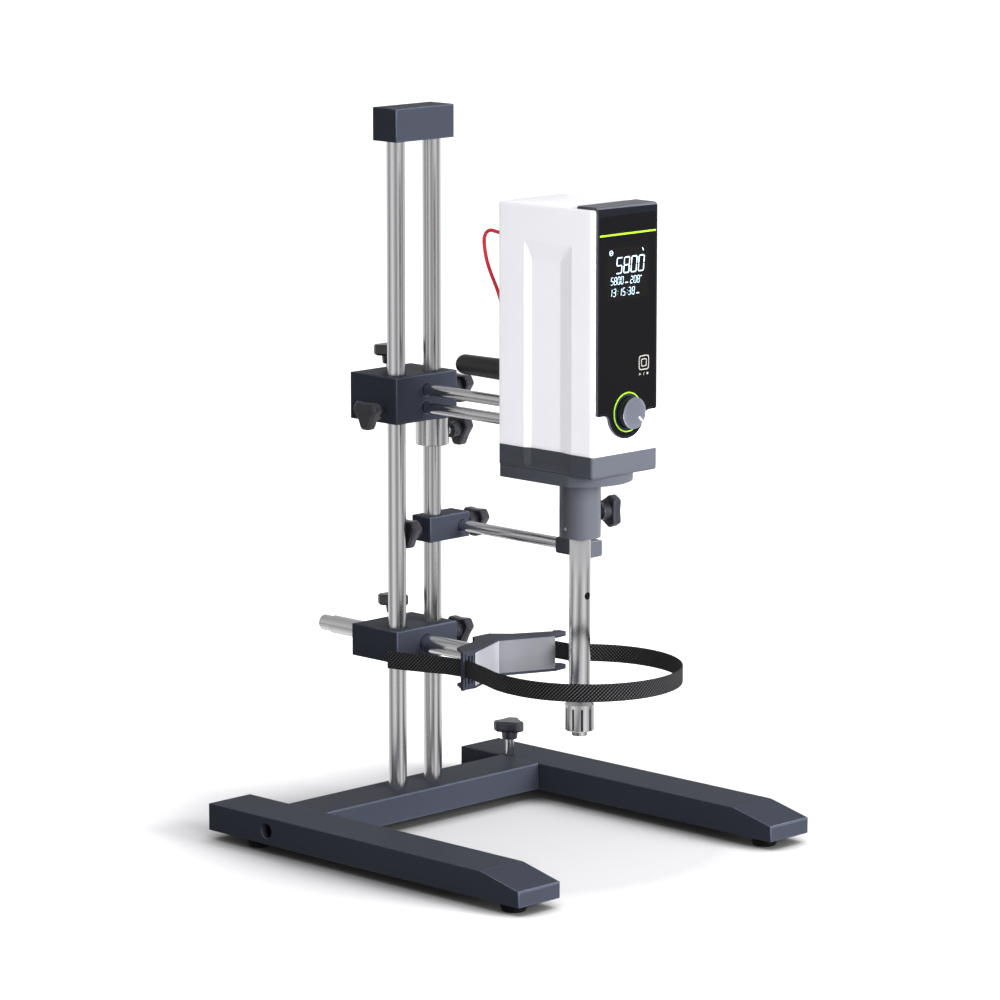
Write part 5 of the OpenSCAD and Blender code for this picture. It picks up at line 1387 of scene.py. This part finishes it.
@dataclass
class Tool:
    """The tool collar with its knob, and the dispersing tool."""

    rig: Rig
    flare: float = 3.6
    rise: float = 3.9
    vent_z: float = 231.0
    vent_radius: float = 3.3
    collar_top: float = 331.3
    collar_radius: float = 17.75
    collar_bore: float = 9.6
    tube_bore: float = 7.0

    def collar(self) -> bpy.types.Object:
        """The tool collar: a plain barrel that flares into the step above it."""
        low, high = self.rig.box("tool_collar")
        base, top, radius = low[2] + self.rise, self.collar_top, self.collar_radius
        centre = [(low[0] + high[0]) / 2.0, (low[1] + high[1]) / 2.0, 0.0]
        profile = fillet([(self.collar_bore, base), (radius, base), (radius, top - self.flare),
                          (radius + self.flare, top)], [0, 0.6, self.flare * 0.8, 0], 6)
        return Shell(self.rig).grid(lathe(profile, centre, Axis.UP), caps=(False, True)).build(
            "tool_collar_turned", "head", [TURNED], ["tool_collar"], 50.0)

    def tube(self) -> bpy.types.Object:
        """The tool's tube, with its vent hole in the right front side drawn as a dark disc on the surface: painted
        shade in place of the hole's shadowed inside.
        """
        low, high = self.rig.box("tool_tube")
        radius = (high[0] - low[0]) / 2.0
        centre = np.array([(low[0] + high[0]) / 2.0, (low[1] + high[1]) / 2.0, 0.0])
        profile = np.array([[self.tube_bore, low[2]], [radius - 0.4, low[2]], [radius, low[2] + 0.4],
                            [radius, high[2] - 0.4], [radius - 0.4, high[2]]])
        shell = Shell(self.rig).grid(lathe(profile, centre, Axis.UP), caps=(False, True))
        # the vent hole: a dark disc laid on the surface, painted shade for the hole's inside
        spread, turn = np.meshgrid(np.linspace(1.0, 0.0, 4)[:-1], np.linspace(0, 2 * np.pi, 25)[:-1],
                                   indexing="ij")
        side, up = self.vent_radius * spread * np.cos(turn), self.vent_radius * spread * np.sin(turn)
        angle = side / radius - np.pi / 2.0
        patch = centre + np.stack([(radius + 0.04) * np.cos(angle), (radius + 0.04) * np.sin(angle),
                                   self.vent_z + up], axis=-1)
        shell.grid(patch, caps=(False, True), slot=1)
        return shell.build("tool_tube_turned", "tool", [STEEL_UP, VENT_HOLE_SHADE], ["tool_tube"], 50.0)

    def build(self) -> None:
        """Builds collar, knob and tool."""
        self.collar()
        ClampKnob(self.rig, "tool_clamp_knob", Axis.RIGHT).build()
        self.tube()
        dressed("stator_head", STEEL_UP, bevel=0.15)
        painted(BUSH, "tool_bushings")
        painted(STEEL_INNER, "tool_shaft", "rotor_blades")


# ---------------------------------------------------------------- studio


@dataclass
class Studio:
    """Pale floor, soft light and the camera. Metal sees pale and dark walls round the studio."""

    rig: Rig
    camera_at: tuple[float, float, float] = (-2932.44, -3008.62, 1039.01)
    camera_aim: tuple[float, float, float] = (-2.61, -108.24, 301.47)
    lens: float = 174.657
    sensor: float = 36.0
    floor_half: float = 30.0
    ambient: float = 0.62
    bounce: float = 0.38
    # near_lift and lift_reach keep the floor's own light low close to the machine, a painted shade round it;
    # contact is the reach of the painted contact shadow
    near_lift: float = 0.05
    far_lift: float = 1.0
    lift_reach: tuple[float, float] = (0.20, 0.42)
    contact: float = 0.03
    floor_color: tuple[float, float, float] = (0.42, 0.42, 0.425)
    panels: int = 8
    pale_panel: float = 0.95
    dark_panel: float = 0.25
    horizon: float = 0.7
    zenith: float = 0.3

    def walls(self) -> list[tuple[float, float]]:
        """Evenly spaced panels, pale and dark in turn, with a dark one behind the camera."""
        return [(i / self.panels, self.dark_panel if i % 2 else self.pale_panel) for i in range(self.panels + 1)]

    def sky(self) -> list[tuple[float, float]]:
        """An even fall from the horizon to the zenith."""
        return [(0.0, self.horizon), (1.0, self.zenith)]

    def camera(self) -> None:
        """Puts the camera in its place, upright, and makes it the scene's own."""
        data = bpy.data.cameras.new("studio_camera")
        data.lens, data.sensor_width, data.clip_end = self.lens, self.sensor, 60.0
        camera = bpy.data.objects.new("studio_camera", data)
        bpy.context.scene.collection.objects.link(camera)
        place, aim = (Vector(self.rig.carry(np.array(p))) for p in (self.camera_at, self.camera_aim))
        camera.location = place
        camera.rotation_euler = (aim - place).to_track_quat("-Z", "Y").to_euler()
        bpy.context.scene.camera = camera

    @staticmethod
    def ramp(net: Net, value: bpy.types.NodeSocket, stops: Sequence) -> bpy.types.NodeSocket:
        """A grey ramp through the stops.

        Args:
            net: The nodes of the floor or the world.
            value: What the ramp reads, from 0 to 1.
            stops: Pairs of place and radiance.

        Returns:
            The ramp's colour.
        """
        node = net.add("ValToRGB", {"Fac": value})
        for place, level in stops:
            node.color_ramp.elements.new(place).color = (level, level, level, 1.0)
        for place in (0.0, 1.0):
            extra = [e for e in node.color_ramp.elements if e.position == place and e.color[0] in (0.0, 1.0)]
            if extra and len(node.color_ramp.elements) > len(stops):
                node.color_ramp.elements.remove(extra[0])
        return node.outputs["Color"]

    def wall_light(self, net: Net, place: bpy.types.NodeSocket) -> bpy.types.NodeSocket:
        """The walls' radiance in the direction of a place: the ramp reads its angle round the upright axis,
        from 0 at minus half a turn to 1 at plus half a turn."""
        split = net.add("SeparateXYZ", {0: place}).outputs
        turn = net.math("ARCTAN2", split["Y"], split["X"])
        return self.ramp(net, net.mapped(turn, -math.pi, math.pi), self.walls())

    def floor(self) -> None:
        """A pale floor. Its own light makes it white away from the machine for the camera; close to the machine
        that light falls away, leaving a greyer floor round it as a painted shade, and ambient occlusion darkens it
        under the parts as a painted contact shadow. Metal sees the walls in it."""
        half = self.floor_half
        mesh = bpy.data.meshes.new("studio_floor")
        mesh.from_pydata([(-half, -half, 0), (half, -half, 0), (half, half, 0), (-half, half, 0)], [],
                         [(0, 1, 2, 3)])
        floor = bpy.data.objects.new("studio_floor", mesh)
        bpy.context.scene.collection.objects.link(floor)
        material = bpy.data.materials.new("studio_floor")
        material.use_nodes = True
        net = Net(material.node_tree)
        place, path = net.add("TexCoord").outputs["Object"], net.add("LightPath").outputs
        # ambient occlusion darkens the floor under and beside the parts, and dims its own light there too: a
        # painted contact shadow
        near = net.add("AmbientOcclusion", {"Distance": self.contact}, samples=8).outputs["AO"]
        painted_floor_shade = net.mapped(near, 0.30, 0.85, 0.12, 1.0)
        color = net.add("Mix", {"A": net.scaled(self.floor_color, painted_floor_shade), "B": (*[self.bounce] * 3, 1.0),
                                "Factor": path["Is Diffuse Ray"]}, data_type="RGBA").outputs["Result"]
        shader = net.tree.nodes["Principled BSDF"]
        net.feed(shader, {"Roughness": 0.9, "Specular IOR Level": 0.0, "Base Color": color})
        reach = net.vector("LENGTH", place, out=1)
        lift = net.mapped(reach, *self.lift_reach, self.near_lift, self.far_lift)
        seen = net.math("MULTIPLY", net.math("MULTIPLY", lift, painted_floor_shade), path["Is Camera Ray"])
        glow = net.add("Emission", {"Strength": seen})
        wall = net.add("Emission", {"Color": self.wall_light(net, place)})
        total = net.add("AddShader", {0: shader.outputs[0], 1: glow.outputs[0]})
        pick = net.add("MixShader", {"Fac": path["Is Glossy Ray"], 1: total.outputs[0], 2: wall.outputs[0]})
        net.feed(net.tree.nodes["Material Output"], {"Surface": pick.outputs[0]})
        mesh.materials.append(material)

    def world(self) -> None:
        """White for the camera, even for diffuse light, and a dim ceiling for metal."""
        world = bpy.data.worlds.new("studio_world")
        bpy.context.scene.world = world
        world.use_nodes = True
        net = Net(world.node_tree)
        path = net.add("LightPath").outputs
        height = net.add("SeparateXYZ", {0: net.add("TexCoord").outputs["Generated"]}).outputs["Z"]
        even = (self.ambient, self.ambient, self.ambient * 1.03, 1.0)
        glossy = net.add("Mix", {"A": even, "B": self.ramp(net, height, self.sky()),
                                 "Factor": path["Is Glossy Ray"]}, data_type="RGBA").outputs["Result"]
        seen = net.math("MAXIMUM", path["Is Camera Ray"], path["Is Transmission Ray"])
        final = net.add("Mix", {"A": glossy, "B": (1.0, 1.0, 1.0, 1.0), "Factor": seen}, data_type="RGBA")
        net.feed(net.tree.nodes["Background"], {"Color": final.outputs["Result"], "Strength": 1.0})

    def lamp(self, name: str, at: Sequence[float], aim: Sequence[float], size: float, power: float) -> None:
        """Adds a square soft lamp that metal doesn't mirror.

        Args:
            name: Its name.
            at: Its place, in metres.
            aim: The point it faces.
            size: Its side.
            power: Its power, in watts.
        """
        data = bpy.data.lights.new(name, "AREA")
        data.size, data.energy = size, power
        lamp = bpy.data.objects.new(name, data)
        bpy.context.scene.collection.objects.link(lamp)
        lamp.location = at
        lamp.rotation_euler = (Vector(aim) - Vector(at)).to_track_quat("-Z", "Y").to_euler()
        lamp.visible_glossy = False

    def build(self) -> None:
        """Builds the studio."""
        self.camera()
        self.floor()
        self.world()
        self.lamp("front_softbox", (0.75, -2.6, 0.95), (0.0, 0.0, 0.35), 1.4, 260.0)
        self.lamp("left_softbox", (-1.0, -2.5, 0.8), (0.0, 0.0, 0.35), 1.0, 75.0)
        self.lamp("top_softbox", (0.1, 0.2, 2.8), (0.0, 0.0, 0.2), 1.8, 8.0)
        bpy.context.scene.view_settings.view_transform = "Standard"


def main() -> None:
    """Builds every sub-assembly in order."""
    logging.basicConfig(level=logging.INFO, format="%(name)s: %(message)s")
    rig = Rig.from_frame()
    for part in (Stand(rig), Carriage(rig), ProbeArm(rig), StrapArm(rig), HeadShell(rig), Panel(rig), Dial(rig),
                 RearFittings(rig), Drive(), Tool(rig), Studio(rig)):
        LOG.info("building %s", type(part).__name__)
        part.build()


if __name__ == "__main__":
    main()
